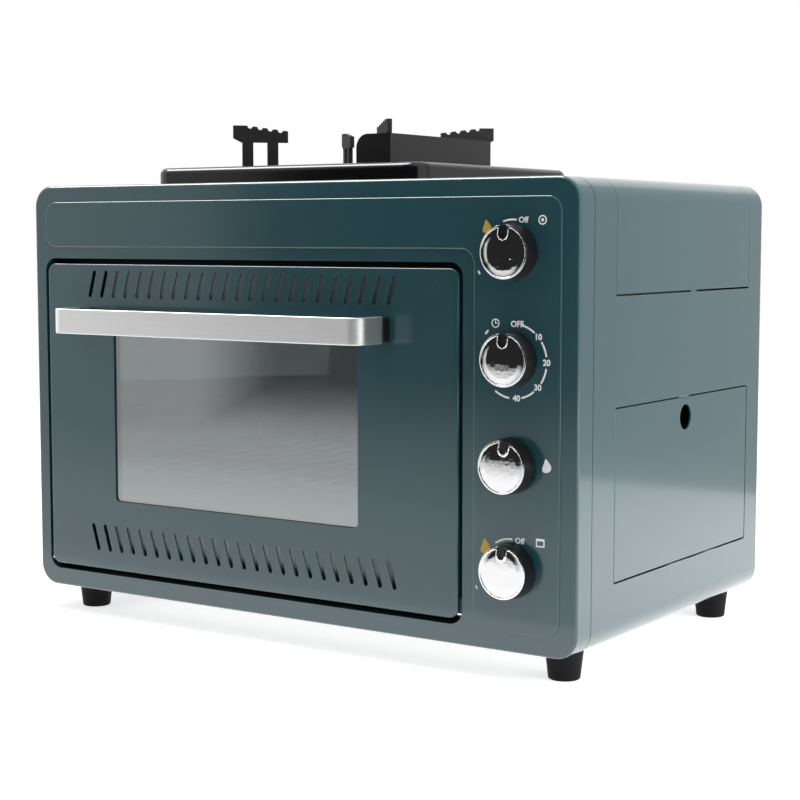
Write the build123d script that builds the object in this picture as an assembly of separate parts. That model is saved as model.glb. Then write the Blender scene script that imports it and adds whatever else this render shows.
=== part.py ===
from build123d import *
import os
from math import sqrt

# Portable gas oven with a single-burner stove on its top, in millimetres.
# Pieces are drawn from the casing's lower front left corner: X to the right along the
# front, Y to the rear and Z up. They are moved to the part's origin when they are written.

# ---- casing ---------------------------------------------------------------------------
BODY_W = 480.0              # casing width
BODY_D = 298.0              # casing depth, fascia included
BODY_H = 312.0              # casing height, without the feet
CORNER_R = 16.0             # rounded corners seen from the front
SHEET = 1.2                 # painted steel sheet
FIT = 0.15                  # clearance between pieces that nest
FASCIA_D = 19.6             # depth of the pressed front
SEAM = 0.8                  # gap between the fascia and the wrap
FRONT_EDGE_R = 2.5          # rolled edge of the fascia
REAR_EDGE_R = 5.0           # rolled rear edge of the wrap
BACK_RIM = 14.0             # rim of the wrap that the back panel is screwed to
BOTTOM_RIM = 50.0           # width of the wrap's bottom flanges at the sides
BOTTOM_END = 12.0           # width of the wrap's bottom flanges at the front and rear
EMBOSS = 1.2                # raised field of the fascia
EMBOSS_EDGE_R = 1.0
FIELD_STEP = 8.6            # plain margin between the door opening and the raised field
FIELD_MARGIN = 12.4         # plain margin between the casing's edge and the raised field
VENT_L = 18.0               # cooling and exhaust slots, their counts along and up
VENT_W = 4.5
VENT_PITCH_ALONG = 23.0
VENT_PITCH_ACROSS = 14.0
SIDE_VENT_COUNTS = (8, 2)
SIDE_VENTS_Y = 150.0
SIDE_VENTS_Z = 48.0
EXHAUST_VENT_COUNTS = (12, 3)
EXHAUST_VENTS_DROP = 76.0   # middle row under the casing's top
BAY_VENT_COUNTS = (3, 4)
BAY_VENTS_INSET = 44.0      # from the casing's right side
BAY_VENTS_Z = 80.0
BASE_VENT_COUNTS = (12, 5)
LINER_VENT_COUNTS = (12, 1)

# ---- feet -----------------------------------------------------------------------------
FOOT_H = 21.0
FOOT_TOP_R = 13.2
FOOT_TIP_R = 10.8
FOOT_EDGE_R = 1.5
FOOT_INSET_X = 27.0
FOOT_INSET_FRONT = 34.0
FOOT_INSET_REAR = 27.0
FOOT_SCREW_R = 2.0
FOOT_SCREW_HEAD_R = 4.0
FOOT_SCREW_HEAD_H = 2.2
FOOT_WELL_H = 10.0          # depth of the screw's well in the foot
FOOT_SCREW_END = 1.2        # screw's end above the base pan

# ---- oven door ------------------------------------------------------------------------
OPENING_X0 = 11.2           # left edge of the door opening in the fascia
OPENING_Z0 = 13.6           # lower edge
CONTROL_W = 86.4            # door opening to the casing's right side
HEADER_H = 55.4             # door opening to the casing's top
OPENING_R = 10.0
OPENING_FLANGE = 9.0        # depth of the opening's return flange
DOOR_GAP_SIDE = 3.2         # door edge to opening, at the sides
DOOR_GAP_END = 4.0          # door edge to opening, top and bottom
DOOR_PROUD = 1.0            # the door stands in front of the fascia's face
DOOR_D = 16.0               # door thickness
DOOR_R = 7.0
DOOR_EDGE_R = 1.5
WINDOW_LEFT = 67.4          # window to the door's edges
WINDOW_RIGHT = 81.6
WINDOW_BELOW = 53.9
WINDOW_ABOVE = 46.6
WINDOW_R = 4.0
GLASS_T = 4.0
GLASS_LAP = 9.5             # glass hidden behind the door sheet, each side
GLASS_SEAT = 0.4            # heatproof tape between sheet and glass
CLIP_LAP = 4.0
CLIP_T = 0.8
CLIP_W = 16.0
SLOT_COUNT = 24
SLOT_PITCH = 12.0
SLOT_W = 3.6
SLOT_H = 21.5
SLOT_LEAN = 16.0            # degrees from upright
SLOTS_SHIFT = 3.4           # slot rows to the left of the door's middle
UPPER_SLOTS_DROP = 15.3     # middle of the slots to the door's edges
LOWER_SLOTS_RISE = 24.6
HINGE_Y = 3.0               # door hinge axis behind the fascia's face
HINGE_Z = 21.2
HINGE_PIN_R = 2.0
HINGE_PIN_L = 8.0
HINGE_BLOCK_H = 13.0
HINGE_BLOCK_D = 8.4
PIN_CLEARANCE = 0.05        # radial clearance of every pivot and spindle

# ---- door handle ----------------------------------------------------------------------
HANDLE_REACH = 36.0         # handle face in front of the fascia's face
HANDLE_LEFT = 36.9          # handle to the door's edges
HANDLE_RIGHT = 55.9
HANDLE_DROP = 51.6          # handle's lower edge under the door's upper edge
HANDLE_H = 18.5
HANDLE_T = 3.0
HANDLE_BEND_R = 9.0
HANDLE_EDGE_R = 0.8         # eased edges of the bar's face
POST_L = 7.0                # black stand-offs between handle and door
POST_W = 11.0
POST_INSET = 1.0

# ---- knobs ----------------------------------------------------------------------------
KNOB_INSET = 48.3           # knob axes to the casing's right side
KNOB_DROP = 48.5            # top knob's axis to the casing's top
KNOB_RISE = 55.3            # bottom knob's axis above the casing's underside
KNOB_GAP = 0.8              # skirt to fascia
SAFETY_TRAVEL = 2.0         # push travel of the safety knob
SAFETY_REST = 0.3           # what is left between it and the fascia when it is pushed
KNOB_D = 12.4
KNOB_BASE_R = 18.5
KNOB_FACE_R = 17.4
KNOB_WALL = 2.2
CAP_T = 1.4
CAP_RIM = 1.2               # width of the cap's raised rim
DOME_R = 140.0              # radius of the cap's domed field
DOME_DROP = 0.15            # top of the dome behind the rim's face
NOTCH_W = 5.2
NOTCH_L = 8.5
SPINDLE_R = 3.0
SPINDLE_FLAT = 1.0          # depth of the flat on the spindle
SPINDLE_END = 27.0          # rear end of the spindles
BOSS_R = 5.0
KNOB_RIBS = 4
SAFETY_TURN = -10.0         # degrees the safety knob's notch is off the top
SPINDLE_HOLE_R = 4.5        # hole in the fascia
CAP_EDGE_R = 0.4

# ---- chassis and oven box -------------------------------------------------------------
CHASSIS_Y = 17.2            # front face of the chassis plate
CHASSIS_LIP_FRONT = 6.0
CHASSIS_LIP_REAR = 8.0
LINER_FLANGE = 12.0
LINER_T = 1.0
CAVITY_X0 = 28.0            # oven box's left wall
CAVITY_Z0 = 32.0            # oven box's floor
CAVITY_SIDE_GAP = 12.0      # oven box to the wall beside the gas bays
CAVITY_DROP = 16.6          # oven box's top under the door opening's upper edge
CAVITY_BACK_GAP = 36.0      # oven box to the casing's rear
CAVITY_R = 8.0
BAY_W = 92.0                # hot side of the gas bays' wall to the casing's right side
RACK_R = 2.0                # side rack wire
RACK_INSET = 16.0           # uprights from the ends of the rails
RACK_RAIL_STEP = 5.0        # rail centres to the cavity's walls
RACK_DROP = 40.0            # top of the uprights under the cavity's top
SHELF_COUNT = 3
SHELF_RISE = 60.0           # lowest shelf level above the cavity's floor
SHELF_DROP = 12.0           # highest shelf level under the top of the uprights
SHELF_GAP = 0.5             # shelf to the racks' uprights
SHELF_RIM_R = 2.5
SHELF_WIRE_R = 1.5
SHELF_WELD = 0.4            # how far the wires sink into the rim
SHELF_WIRES = 13
SHELF_CORNER_R = 14.0
SHELF_INSET = 5.0           # shelf rim behind the liner's mouth and off its back
COVER_X_INSET = 10.0        # burner cover to the cavity's walls
COVER_Y_INSET = 8.0
COVER_H = 28.0
COVER_SLOT_COUNTS = (2, 9)
BURNER_TUBE_R = 8.0
BURNER_TUBE_WALL = 1.0
BURNER_TUBE_RISE = 14.0     # tube's axis above the cavity's floor
BURNER_LEG_INSET = 47.0     # burner legs from the cavity's walls
BURNER_END_INSET = 24.0
BURNER_BEND_R = 30.0
BURNER_SLIT_COUNT = 12
SLIT_W = 1.2
INLET_Y = 60.0
INLET_GAP = 2.0             # burner inlet to the bulkhead
IGNITER_Y = 88.0
SENSOR_Y = 102.0
PROBE_RISE = 20.0           # probes' axes above the cavity's floor
PROBE_R = 2.6
PROBE_L = 18.0
PROBE_TIP_R = 0.8
PROBE_TIP_L = 20.0

# ---- gas bays -------------------------------------------------------------------------
BAY_Y0 = 51.2               # front edge of the lid and door openings
BAY_REAR = 27.2             # their rear edge to the casing's rear
BAY_GAP = 0.5               # lid and door ends to the wrap
LID_H = 77.8                # lid opening's lower edge to the casing's top
LID_W = 82.5                # hinge axis to the casing's right side
LID_HINGE_DROP = 3.5        # hinge axis under the casing's top
LID_KNUCKLE_R = 3.3
LID_KNUCKLE_L = 24.0
LID_PIN_R = 1.5
LID_BARREL_GAP = 1.6        # hinge barrel to the wrap, room for the opened lid
LID_RETURN = 8.0            # depth of the lid's end returns
LUG_L = 7.0
LID_SEAM = 1.4              # lid's lower edge to the wrap
LID_TAB_SHIFT = 11.0        # tab under the lid, behind the opening's middle
LID_TAB_W = 9.0
LID_TAB_GAP = 0.3           # tab to the lid's edge
BAY_DOOR_Z0 = 42.4
BAY_DOOR_Z1 = 160.8
BAY_DOOR_HINGE_IN = 3.0     # hinge axis behind the side's face
BAY_DOOR_HINGE_UP = 5.0     # hinge axis above the opening's lower edge
BAY_DOOR_RETURN = 9.0
BAY_DOOR_EDGE_R = 1.0
BAY_DOOR_SEAM = 0.9         # door's upper and lower edges to the wrap
BAY_CORNER_R = 2.5          # rounded corners of the door's opening
FINGER_HOLE_R = 9.2
FINGER_HOLE_DROP = 15.2     # hole centre under the opening's upper edge
CARTRIDGE_R = 34.0          # the bays take a standard bayonet cartridge of this radius
CARTRIDGE_L = 190.0
CRADLE_DROP = 8.2           # cradles under the lower edges of the openings
CRADLE_RIB_T = 2.0
CRADLE_RIB_X = 22.0         # rib distance from the cartridge's axis
CRADLE_MARGIN = 20.0        # the cradle reaches past the opening's ends
OVEN_CARTRIDGE_RISE = 41.8  # axis of the oven's cartridge above its cradle
REGULATOR_R = 17.0
REGULATOR_L = 16.0
COLLAR_R = 11.0
COLLAR_L = 8.0
VALVE_R = 12.0
VALVE_L = 16.0
NECK_R = 6.0
NECK_L = 9.4                # valve neck in front of the chassis plate's rear face
NUT_AF = 16.0
NUT_H = 3.4
TIMER_W = 46.0
TIMER_L = 16.0
TIMER_BELL_R = 17.0
TIMER_BELL_H = 7.0
PORT_R = 5.0
PORT_L = 6.0
BRACKET_Y = 37.0            # front face of the regulator bracket
BRACKET_H = 64.0
FEED_INSET = 16.0           # feed pipe to the casing's right side
LOOP_OUT = 15.0             # link pipe and oven jet's pipe to the gas bays' wall
JET_OUT = 12.0
STOVE_RUN_IN = 36.0         # stove pipe on the oven side of that wall
LOW_RUN_Z = 20.0
JET_R = 4.4
JET_L = 4.0
JET_GAP = 1.5               # jet to the mixing tube's mouth
PIPE_BEND_R = 8.0

# ---- stove ----------------------------------------------------------------------------
BURNER_INSET = 262.6        # burner's axis to the casing's right side
BURNER_Y = 139.0
TRAY_W = 243.0
TRAY_D = 217.0
TRAY_H = 13.0
TRAY_R = 14.0
TRAY_EDGE_R = 5.0
TRAY_RIM = 8.0
TRAY_FLOOR_Z = 4.0          # underside of the tray's floor above the casing top
TRAY_OVERLAP = 12.0         # tray over the edge of the hole in the casing top
BURNER_HOLE_R = 37.5
HEAD_R = 36.0
HEAD_H = 6.5
HEAD_WALL = 2.5
PORT_COUNT = 24
PORT_W = 1.6
BURNER_CAP_R = 33.0
BURNER_CAP_H = 2.8
BOWL_R = 30.0
BOWL_DEPTH = 24.0
BRACKET_W = 30.0
BRACKET_LAP = 12.0          # bracket flange under the casing's top
IGNITER_OUT = 42.0          # stove electrode from the burner's axis
MIX_TUBE_R = 7.0
MIX_TUBE_L = 112.0
SUPPORT_COUNT = 4
SUPPORT_TURN = 45.0         # degrees, the supports lie on the diagonals
SUPPORT_T = 3.5
SUPPORT_TOP = 45.5          # above the casing top
SUPPORT_STEP = 4.0          # the crossbar is lower by this at its inner end
SUPPORT_BAR_H = 8.8
SUPPORT_R0 = 60.1           # radii from the burner's axis
SUPPORT_R1 = 102.0
SUPPORT_LEG_W = 8.2
SUPPORT_LEG_R = (71.8, 91.0)
SUPPORT_HORN = 10.8         # flat outer end of the bar's top
SUPPORT_CHAMFER = (6.3, 3.2)
SCALLOP_COUNT = 4
SCALLOP_PITCH = 7.75
SCALLOP_R = 2.0
SCALLOP_EDGE_R = 0.9        # eased crests between the scallops
SHIELD_T = 1.0
SHIELD_GAP = 0.35           # heat shield's wall to the pot supports
SHIELD_FRONT = 75.0         # its ends from the burner's axis
SHIELD_REAR = 64.0
SHIELD_TOP = 35.2           # above the casing top
SHIELD_WING = 30.0
SHIELD_WING_R = 10.0
SHIELD_FOOT = 10.0
TRAY_SCREW_INSET = 28.0     # screws from the heat shield's ends
SUPPORT_FOOT_W = 12.0

# ---- small hardware -------------------------------------------------------------------
SCREW_R = 1.6
SCREW_HEAD_R = 3.4
SCREW_HEAD_H = 1.6
MAGNET_R = 4.0
MAGNET_L = 6.0
MAGNET_INSET = 44.0         # door magnets from the cavity's sides
PIPE_R = 3.0
PIPE_WALL = 0.8

# ---- worked out -----------------------------------------------------------------------
CHASSIS_T = SHEET
WRAP_Y0 = FASCIA_D + SEAM
PANEL_Y = -EMBOSS
OPENING_X1 = BODY_W - CONTROL_W
OPENING_Z1 = BODY_H - HEADER_H
DOOR_X0 = OPENING_X0 + DOOR_GAP_SIDE
DOOR_X1 = OPENING_X1 - DOOR_GAP_SIDE
DOOR_Z0 = OPENING_Z0 + DOOR_GAP_END
DOOR_Z1 = OPENING_Z1 - DOOR_GAP_END
DOOR_Y0 = -DOOR_PROUD
DOOR_Y1 = DOOR_Y0 + DOOR_D
WINDOW_X0 = DOOR_X0 + WINDOW_LEFT
WINDOW_X1 = DOOR_X1 - WINDOW_RIGHT
WINDOW_Z0 = DOOR_Z0 + WINDOW_BELOW
WINDOW_Z1 = DOOR_Z1 - WINDOW_ABOVE
HANDLE_X0 = DOOR_X0 + HANDLE_LEFT
HANDLE_X1 = DOOR_X1 - HANDLE_RIGHT
HANDLE_Z0 = DOOR_Z1 - HANDLE_DROP
KNOBS = ("oven", "safety", "timer", "stove")
KNOB_X = BODY_W - KNOB_INSET
KNOB_PITCH = (BODY_H - KNOB_DROP - KNOB_RISE) / (len(KNOBS) - 1)
KNOB_Z = {name: KNOB_RISE + place * KNOB_PITCH for place, name in enumerate(KNOBS)}
BULKHEAD_X = BODY_W - BAY_W
CAVITY_X1 = BULKHEAD_X - CAVITY_SIDE_GAP
CAVITY_Z1 = OPENING_Z1 - CAVITY_DROP
CAVITY_BACK = BODY_D - CAVITY_BACK_GAP
CAVITY_X = (CAVITY_X0 + CAVITY_X1) / 2
RACK_TOP_Z = CAVITY_Z1 - RACK_DROP
SHELF_Z = CAVITY_Z0 + SHELF_RISE
SHELF_PITCH = (RACK_TOP_Z - SHELF_DROP - SHELF_Z) / (SHELF_COUNT - 1)
COVER_Z = CAVITY_Z0 + COVER_H
BURNER_TUBE_Z = CAVITY_Z0 + BURNER_TUBE_RISE
PROBE_Z = CAVITY_Z0 + PROBE_RISE
BAY_Y1 = BODY_D - BAY_REAR
BAY_Y = (BAY_Y0 + BAY_Y1) / 2
LID_Z0 = BODY_H - LID_H
LID_HINGE_X = BODY_W - LID_W
STOVE_CRADLE_Z = LID_Z0 - CRADLE_DROP
OVEN_CRADLE_Z = BAY_DOOR_Z0 - CRADLE_DROP
OVEN_CARTRIDGE_Z = OVEN_CRADLE_Z + OVEN_CARTRIDGE_RISE
FEED_X = BODY_W - FEED_INSET
LOOP_X = BULKHEAD_X + LOOP_OUT
OVEN_JET_X = BULKHEAD_X + JET_OUT
STOVE_RUN_X = BULKHEAD_X - STOVE_RUN_IN
BURNER_X = BODY_W - BURNER_INSET
SHIELD_X0 = BURNER_X + (SUPPORT_R1 + SUPPORT_T / 2) / sqrt(2) + SHIELD_GAP
SHIELD_X1 = SHIELD_X0 + SHIELD_T
SHIELD_Y0 = BURNER_Y - SHIELD_FRONT
SHIELD_Y1 = BURNER_Y + SHIELD_REAR
TRAY_SCREW_X = SHIELD_X1 + SHIELD_FOOT / 2
TRAY_SCREW_Y = (SHIELD_Y0 + TRAY_SCREW_INSET, SHIELD_Y1 - TRAY_SCREW_INSET)
TOP = BODY_H
TRAY_TOP = TOP + TRAY_H
TRAY_FLOOR = TOP + TRAY_FLOOR_Z + SHEET
LINER_Y0 = CHASSIS_Y - LINER_T
GLASS_BACK = DOOR_Y0 + SHEET + GLASS_SEAT + GLASS_T
VALVE_Y0 = CHASSIS_Y + CHASSIS_T
PORT_Y = VALVE_Y0 + VALVE_L / 2
PORT_OUT = VALVE_R + PORT_L
REGULATOR_Y0 = BRACKET_Y + SHEET
REGULATOR_PORT_Y = REGULATOR_Y0 + REGULATOR_L / 2
BOWL_Z0 = TRAY_FLOOR - BOWL_DEPTH
MIX_TUBE_Z = BOWL_Z0 + SHEET + MIX_TUBE_R
HEAD_TOP = TRAY_FLOOR + HEAD_H
BACK_PANEL_Y = BODY_D - 2 * SHEET
PAN_Y1 = BODY_D - REAR_EDGE_R
ORIGIN = (
    BODY_W / 2,
    (BODY_D + SCREW_HEAD_H - HANDLE_REACH) / 2,
    -FOOT_H,
)


# ---- drawing helpers ------------------------------------------------------------------
def block(x0, x1, y0, y1, z0, z1):
    """A box between two opposite corners."""
    middle = Pos((x0 + x1) / 2, (y0 + y1) / 2, (z0 + z1) / 2)
    return middle * Box(x1 - x0, y1 - y0, z1 - z0)


def frame_sketch(x0, x1, z0, z1, radius):
    """A rounded rectangle between two corners, in its own plane."""
    return Pos((x0 + x1) / 2, (z0 + z1) / 2) * RectangleRounded(x1 - x0, z1 - z0, radius)


def along_x(sketch, x0, x1):
    """A YZ sketch drawn out along X."""
    return extrude(Plane.YZ.offset(x0) * sketch, amount=x1 - x0)


def along_y(sketch, y0, y1):
    """An XZ sketch drawn out along Y, from the front to the rear."""
    return extrude(Plane.XZ.offset(-y0) * sketch, amount=-(y1 - y0))


def along_z(sketch, z0, z1):
    """An XY sketch drawn upwards."""
    return extrude(Plane.XY.offset(z0) * sketch, amount=z1 - z0)


def rod_x(radius, x0, x1, y, z):
    """A round bar along X."""
    return along_x(Pos(y, z) * Circle(radius), x0, x1)


def rod_y(radius, y0, y1, x, z):
    """A round bar along Y."""
    return along_y(Pos(x, z) * Circle(radius), y0, y1)


def rod_z(radius, z0, z1, x, y):
    """A round bar along Z."""
    return along_z(Pos(x, y) * Circle(radius), z0, z1)


def outline(inset):
    """The casing's front outline, moved inwards."""
    return frame_sketch(inset, BODY_W - inset, inset, BODY_H - inset, CORNER_R - inset)


def front_edges(solid):
    """The outermost edges at a solid's front."""
    return solid.edges().group_by(Axis.Y)[0]


def rear_edges(solid):
    """The outermost edges at a solid's rear."""
    return solid.edges().group_by(Axis.Y)[-1]


# ---- casing ---------------------------------------------------------------------------
def raised_field(inset):
    """The L-shaped field over the door and down the control side."""
    margin = FIELD_MARGIN + inset
    inner_x = OPENING_X1 + FIELD_STEP + inset
    inner_z = OPENING_Z1 + FIELD_STEP + inset
    outer_x = BODY_W - margin
    outer_z = BODY_H - margin
    low_z = OPENING_Z0 + inset
    corners = [
        (margin, inner_z), (inner_x, inner_z), (inner_x, low_z),
        (outer_x, low_z), (outer_x, outer_z), (margin, outer_z),
    ]
    field = make_face(Polyline(*corners, close=True))
    return fillet(field.vertices(), OPENING_R - inset)


def opening_outline(grow):
    """The door opening's outline, moved outwards."""
    return frame_sketch(OPENING_X0 - grow, OPENING_X1 + grow, OPENING_Z0 - grow,
                        OPENING_Z1 + grow, OPENING_R + grow)


def front_fascia():
    """Pressed front with the door opening, the raised field and the spindle holes."""
    skin = along_y(outline(0), 0, FASCIA_D)
    skin = fillet(front_edges(skin), FRONT_EDGE_R)
    hollow = along_y(outline(SHEET), SHEET, FASCIA_D)
    skin -= fillet(front_edges(hollow), FRONT_EDGE_R - SHEET)
    field = along_y(raised_field(0), PANEL_Y, SHEET)
    skin += fillet(front_edges(field), EMBOSS_EDGE_R)
    skin -= along_y(raised_field(SHEET), PANEL_Y + SHEET, SHEET)
    skin += along_y(opening_outline(SHEET), 0, OPENING_FLANGE)
    skin -= along_y(opening_outline(0), -EMBOSS, FASCIA_D)
    for height in KNOB_Z.values():
        skin -= rod_y(SPINDLE_HOLE_R, -2 * EMBOSS, FASCIA_D, KNOB_X, height)
    return skin


def chassis_front():
    """Welded frame behind the fascia: it bridges the seam and carries box and valves."""
    edge = SHEET + FIT
    plate = along_y(outline(edge), CHASSIS_Y, CHASSIS_Y + CHASSIS_T)
    lip = along_y(outline(edge) - outline(edge + SHEET), CHASSIS_Y - CHASSIS_LIP_FRONT,
                  CHASSIS_Y + CHASSIS_LIP_REAR)
    plate += lip
    plate -= along_y(
        frame_sketch(CAVITY_X0 - LINER_T - FIT, CAVITY_X1 + LINER_T + FIT,
                     CAVITY_Z0 - LINER_T - FIT, CAVITY_Z1 + LINER_T + FIT, CAVITY_R),
        CHASSIS_Y, CHASSIS_Y + CHASSIS_T)
    for height in KNOB_Z.values():
        plate -= rod_y(NECK_R + PIN_CLEARANCE, CHASSIS_Y, CHASSIS_Y + CHASSIS_T, KNOB_X, height)
    for x, z in magnet_places():
        plate -= rod_y(MAGNET_R + PIN_CLEARANCE, CHASSIS_Y, CHASSIS_Y + CHASSIS_T, x, z)
    return plate


def body_wrap():
    """Top, sides and rear rim of the casing, bent from one sheet."""
    wrap = along_y(outline(0), WRAP_Y0, BODY_D)
    wrap = fillet(rear_edges(wrap), REAR_EDGE_R)
    hollow = along_y(outline(SHEET), WRAP_Y0, BODY_D - SHEET)
    wrap -= fillet(rear_edges(hollow), REAR_EDGE_R - SHEET)
    wrap -= along_y(outline(BACK_RIM), BODY_D - 2 * SHEET, BODY_D)
    wrap -= block(BOTTOM_RIM, BODY_W - BOTTOM_RIM, WRAP_Y0 + BOTTOM_END,
                  BODY_D - BACK_RIM, 0, SHEET)
    lid_edge = LID_HINGE_X - LID_KNUCKLE_R - LID_BARREL_GAP
    wrap -= block(lid_edge, BODY_W, BAY_Y0, BAY_Y1, LID_Z0, TOP)
    wrap -= along_x(bay_door_outline(0, 0), BODY_W - CORNER_R, BODY_W)
    tab_y = BAY_Y + LID_TAB_SHIFT
    wrap += block(BODY_W - SHEET, BODY_W, tab_y - LID_TAB_W / 2, tab_y + LID_TAB_W / 2,
                  LID_Z0, LID_Z0 + LID_SEAM - LID_TAB_GAP)
    wrap -= stove_hole(TOP - SHEET, TOP)
    wrap -= along_x(vent_field((SIDE_VENTS_Y, SIDE_VENTS_Z), SIDE_VENT_COUNTS), 0, SHEET)
    for x, y in foot_places():
        wrap -= rod_z(FOOT_SCREW_R + PIN_CLEARANCE, 0, SHEET, x, y)
    for x, z in back_screw_places():
        wrap -= rod_y(SCREW_R + PIN_CLEARANCE, BODY_D - SHEET, BODY_D, x, z)
    return wrap


def vent_field(centre, counts):
    """Rows of short slots about a centre: how many along, and how many rows."""
    grid = GridLocations(VENT_PITCH_ALONG, VENT_PITCH_ACROSS, *counts)
    return Sketch() + [Pos(*centre) * place * SlotOverall(VENT_L, VENT_W) for place in grid]


def stove_hole(z0, z1):
    """Cut under the drip tray, smaller than the tray by its overlap."""
    return along_z(
        Pos(BURNER_X, BURNER_Y) * RectangleRounded(
            TRAY_W - 2 * TRAY_OVERLAP, TRAY_D - 2 * TRAY_OVERLAP, TRAY_R),
        z0, z1)


def back_panel():
    """Rear cover inside the wrap's rim, with exhaust slots and cooling slots."""
    edge = SHEET + REAR_EDGE_R
    panel = along_y(outline(edge), BACK_PANEL_Y, BACK_PANEL_Y + SHEET)
    over_cavity = (CAVITY_X, TOP - EXHAUST_VENTS_DROP)
    behind_bay = (BODY_W - BAY_VENTS_INSET, BAY_VENTS_Z)
    fields = ((over_cavity, EXHAUST_VENT_COUNTS), (behind_bay, BAY_VENT_COUNTS))
    for centre, counts in fields:
        panel -= along_y(vent_field(centre, counts), BACK_PANEL_Y, BACK_PANEL_Y + SHEET)
    for x, z in back_screw_places():
        panel -= rod_y(SCREW_R + PIN_CLEARANCE, BACK_PANEL_Y, BACK_PANEL_Y + SHEET, x, z)
    return panel


def back_screw_places():
    """Centres of the screws round the wrap's rear rim."""
    inset = BACK_RIM / 2 + SHEET
    columns = [inset + CORNER_R, BODY_W / 2, BODY_W - inset - CORNER_R]
    places = [(x, z) for x in columns for z in (inset, BODY_H - inset)]
    places += [(x, BODY_H / 2) for x in (inset, BODY_W - inset)]
    return places


def back_panel_screws():
    """Pan-head screws through the rim and the back panel."""
    screws = [screw_y(x, z) for x, z in back_screw_places()]
    return Compound(screws)


def screw_y(x, z):
    """One screw from the rear: a domed head and a shank that ends behind the panel."""
    head = rod_y(SCREW_HEAD_R, BODY_D, BODY_D + SCREW_HEAD_H, x, z)
    head = fillet(rear_edges(head), SCREW_HEAD_H / 2)
    return (head + rod_y(SCREW_R, BACK_PANEL_Y - SHEET, BODY_D, x, z)).solid()


def base_pan():
    """Bottom sheet over the wrap's flanges, with turned-up front and rear edges."""
    x0 = CORNER_R
    y0 = CHASSIS_Y + CHASSIS_LIP_REAR + FIT
    y1 = PAN_Y1
    pan = block(x0, BODY_W - x0, y0, y1, SHEET, 2 * SHEET)
    for start in (y0, y1 - SHEET):
        pan += block(x0, BODY_W - x0, start, start + SHEET, SHEET, SHEET + BACK_RIM)
    vents = vent_field((CAVITY_X, (y0 + y1) / 2), BASE_VENT_COUNTS)
    pan -= along_z(vents, SHEET, 2 * SHEET)
    for x, y in foot_places():
        pan -= rod_z(FOOT_SCREW_R + PIN_CLEARANCE, SHEET, 2 * SHEET, x, y)
    return pan


def foot_places():
    """Centres of the four feet."""
    return [(x, y) for x in (FOOT_INSET_X, BODY_W - FOOT_INSET_X)
            for y in (FOOT_INSET_FRONT, BODY_D - FOOT_INSET_REAR)]


def foot(x, y):
    """A tapered rubber foot with a well for its screw's head."""
    body = Pos(x, y, -FOOT_H / 2) * Cone(FOOT_TIP_R, FOOT_TOP_R, FOOT_H)
    body = fillet(body.edges().group_by(Axis.Z)[0], FOOT_EDGE_R)
    body -= rod_z(FOOT_SCREW_HEAD_R + PIN_CLEARANCE, -FOOT_H, FOOT_WELL_H - FOOT_H, x, y)
    body -= rod_z(FOOT_SCREW_R + PIN_CLEARANCE, -FOOT_H, 0, x, y)
    return body.solid()


def feet():
    """The four feet."""
    return Compound([foot(x, y) for x, y in foot_places()])


def foot_screws():
    """Screws up through the feet, the wrap's flanges and the base pan."""
    screws = []
    for x, y in foot_places():
        seat = FOOT_WELL_H - FOOT_H
        shank = rod_z(FOOT_SCREW_R, seat, 2 * SHEET + FOOT_SCREW_END, x, y)
        head = rod_z(FOOT_SCREW_HEAD_R, seat - FOOT_SCREW_HEAD_H, seat, x, y)
        screws.append((shank + head).solid())
    return Compound(screws)


# ---- oven box -------------------------------------------------------------------------
def liner_mouth(inset):
    """The oven box's section, moved inwards."""
    return frame_sketch(CAVITY_X0 + inset, CAVITY_X1 - inset, CAVITY_Z0 + inset,
                        CAVITY_Z1 - inset, CAVITY_R)


def oven_mouth():
    """Flat frame round the oven box's mouth, in front of the chassis plate."""
    frame = along_y(liner_mouth(-LINER_FLANGE) - liner_mouth(0), LINER_Y0, CHASSIS_Y)
    for x, z in magnet_places():
        frame -= rod_y(MAGNET_R + PIN_CLEARANCE, LINER_Y0, CHASSIS_Y, x, z)
    return frame


def oven_liner():
    """Open-fronted box, welded to the frame of its mouth."""
    liner = along_y(liner_mouth(-LINER_T), CHASSIS_Y, CAVITY_BACK + LINER_T)
    liner -= along_y(liner_mouth(0), CHASSIS_Y, CAVITY_BACK)
    exhaust = vent_field((CAVITY_X, CAVITY_Z1 - VENT_PITCH_ACROSS), LINER_VENT_COUNTS)
    liner -= along_y(exhaust, CAVITY_BACK, CAVITY_BACK + LINER_T)
    wall = (CAVITY_X1 - CAVITY_R, CAVITY_X1 + LINER_T)
    liner -= rod_x(BURNER_TUBE_R + PIN_CLEARANCE, *wall, INLET_Y, BURNER_TUBE_Z)
    for y in (IGNITER_Y, SENSOR_Y):
        liner -= rod_x(PROBE_R + PIN_CLEARANCE, *wall, y, PROBE_Z)
    return liner


def magnet_places():
    """Centres of the door's two catch magnets, above the cavity's mouth."""
    z = CAVITY_Z1 + LINER_FLANGE / 2
    return [(CAVITY_X0 + MAGNET_INSET, z), (CAVITY_X1 - MAGNET_INSET, z)]


def side_rack(wall, inwards):
    """Wire rack on one side wall: two uprights and a rail for each shelf level."""
    upright_x = wall + inwards * RACK_R
    rail_x = wall + inwards * RACK_RAIL_STEP
    y0 = CHASSIS_Y + SHELF_INSET
    y1 = CAVITY_BACK - SHELF_INSET
    rack = Part()
    for number in range(SHELF_COUNT):
        level = SHELF_Z + number * SHELF_PITCH
        rack += rod_y(RACK_R, y0, y1, rail_x, level - RACK_R)
    for y in (y0 + RACK_INSET, y1 - RACK_INSET):
        rack += rod_z(RACK_R, CAVITY_Z0 + CAVITY_R, RACK_TOP_Z, upright_x, y)
    return rack.solid()


def side_racks():
    """Left and right wire racks."""
    return Compound([side_rack(CAVITY_X0, 1), side_rack(CAVITY_X1, -1)])


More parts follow.
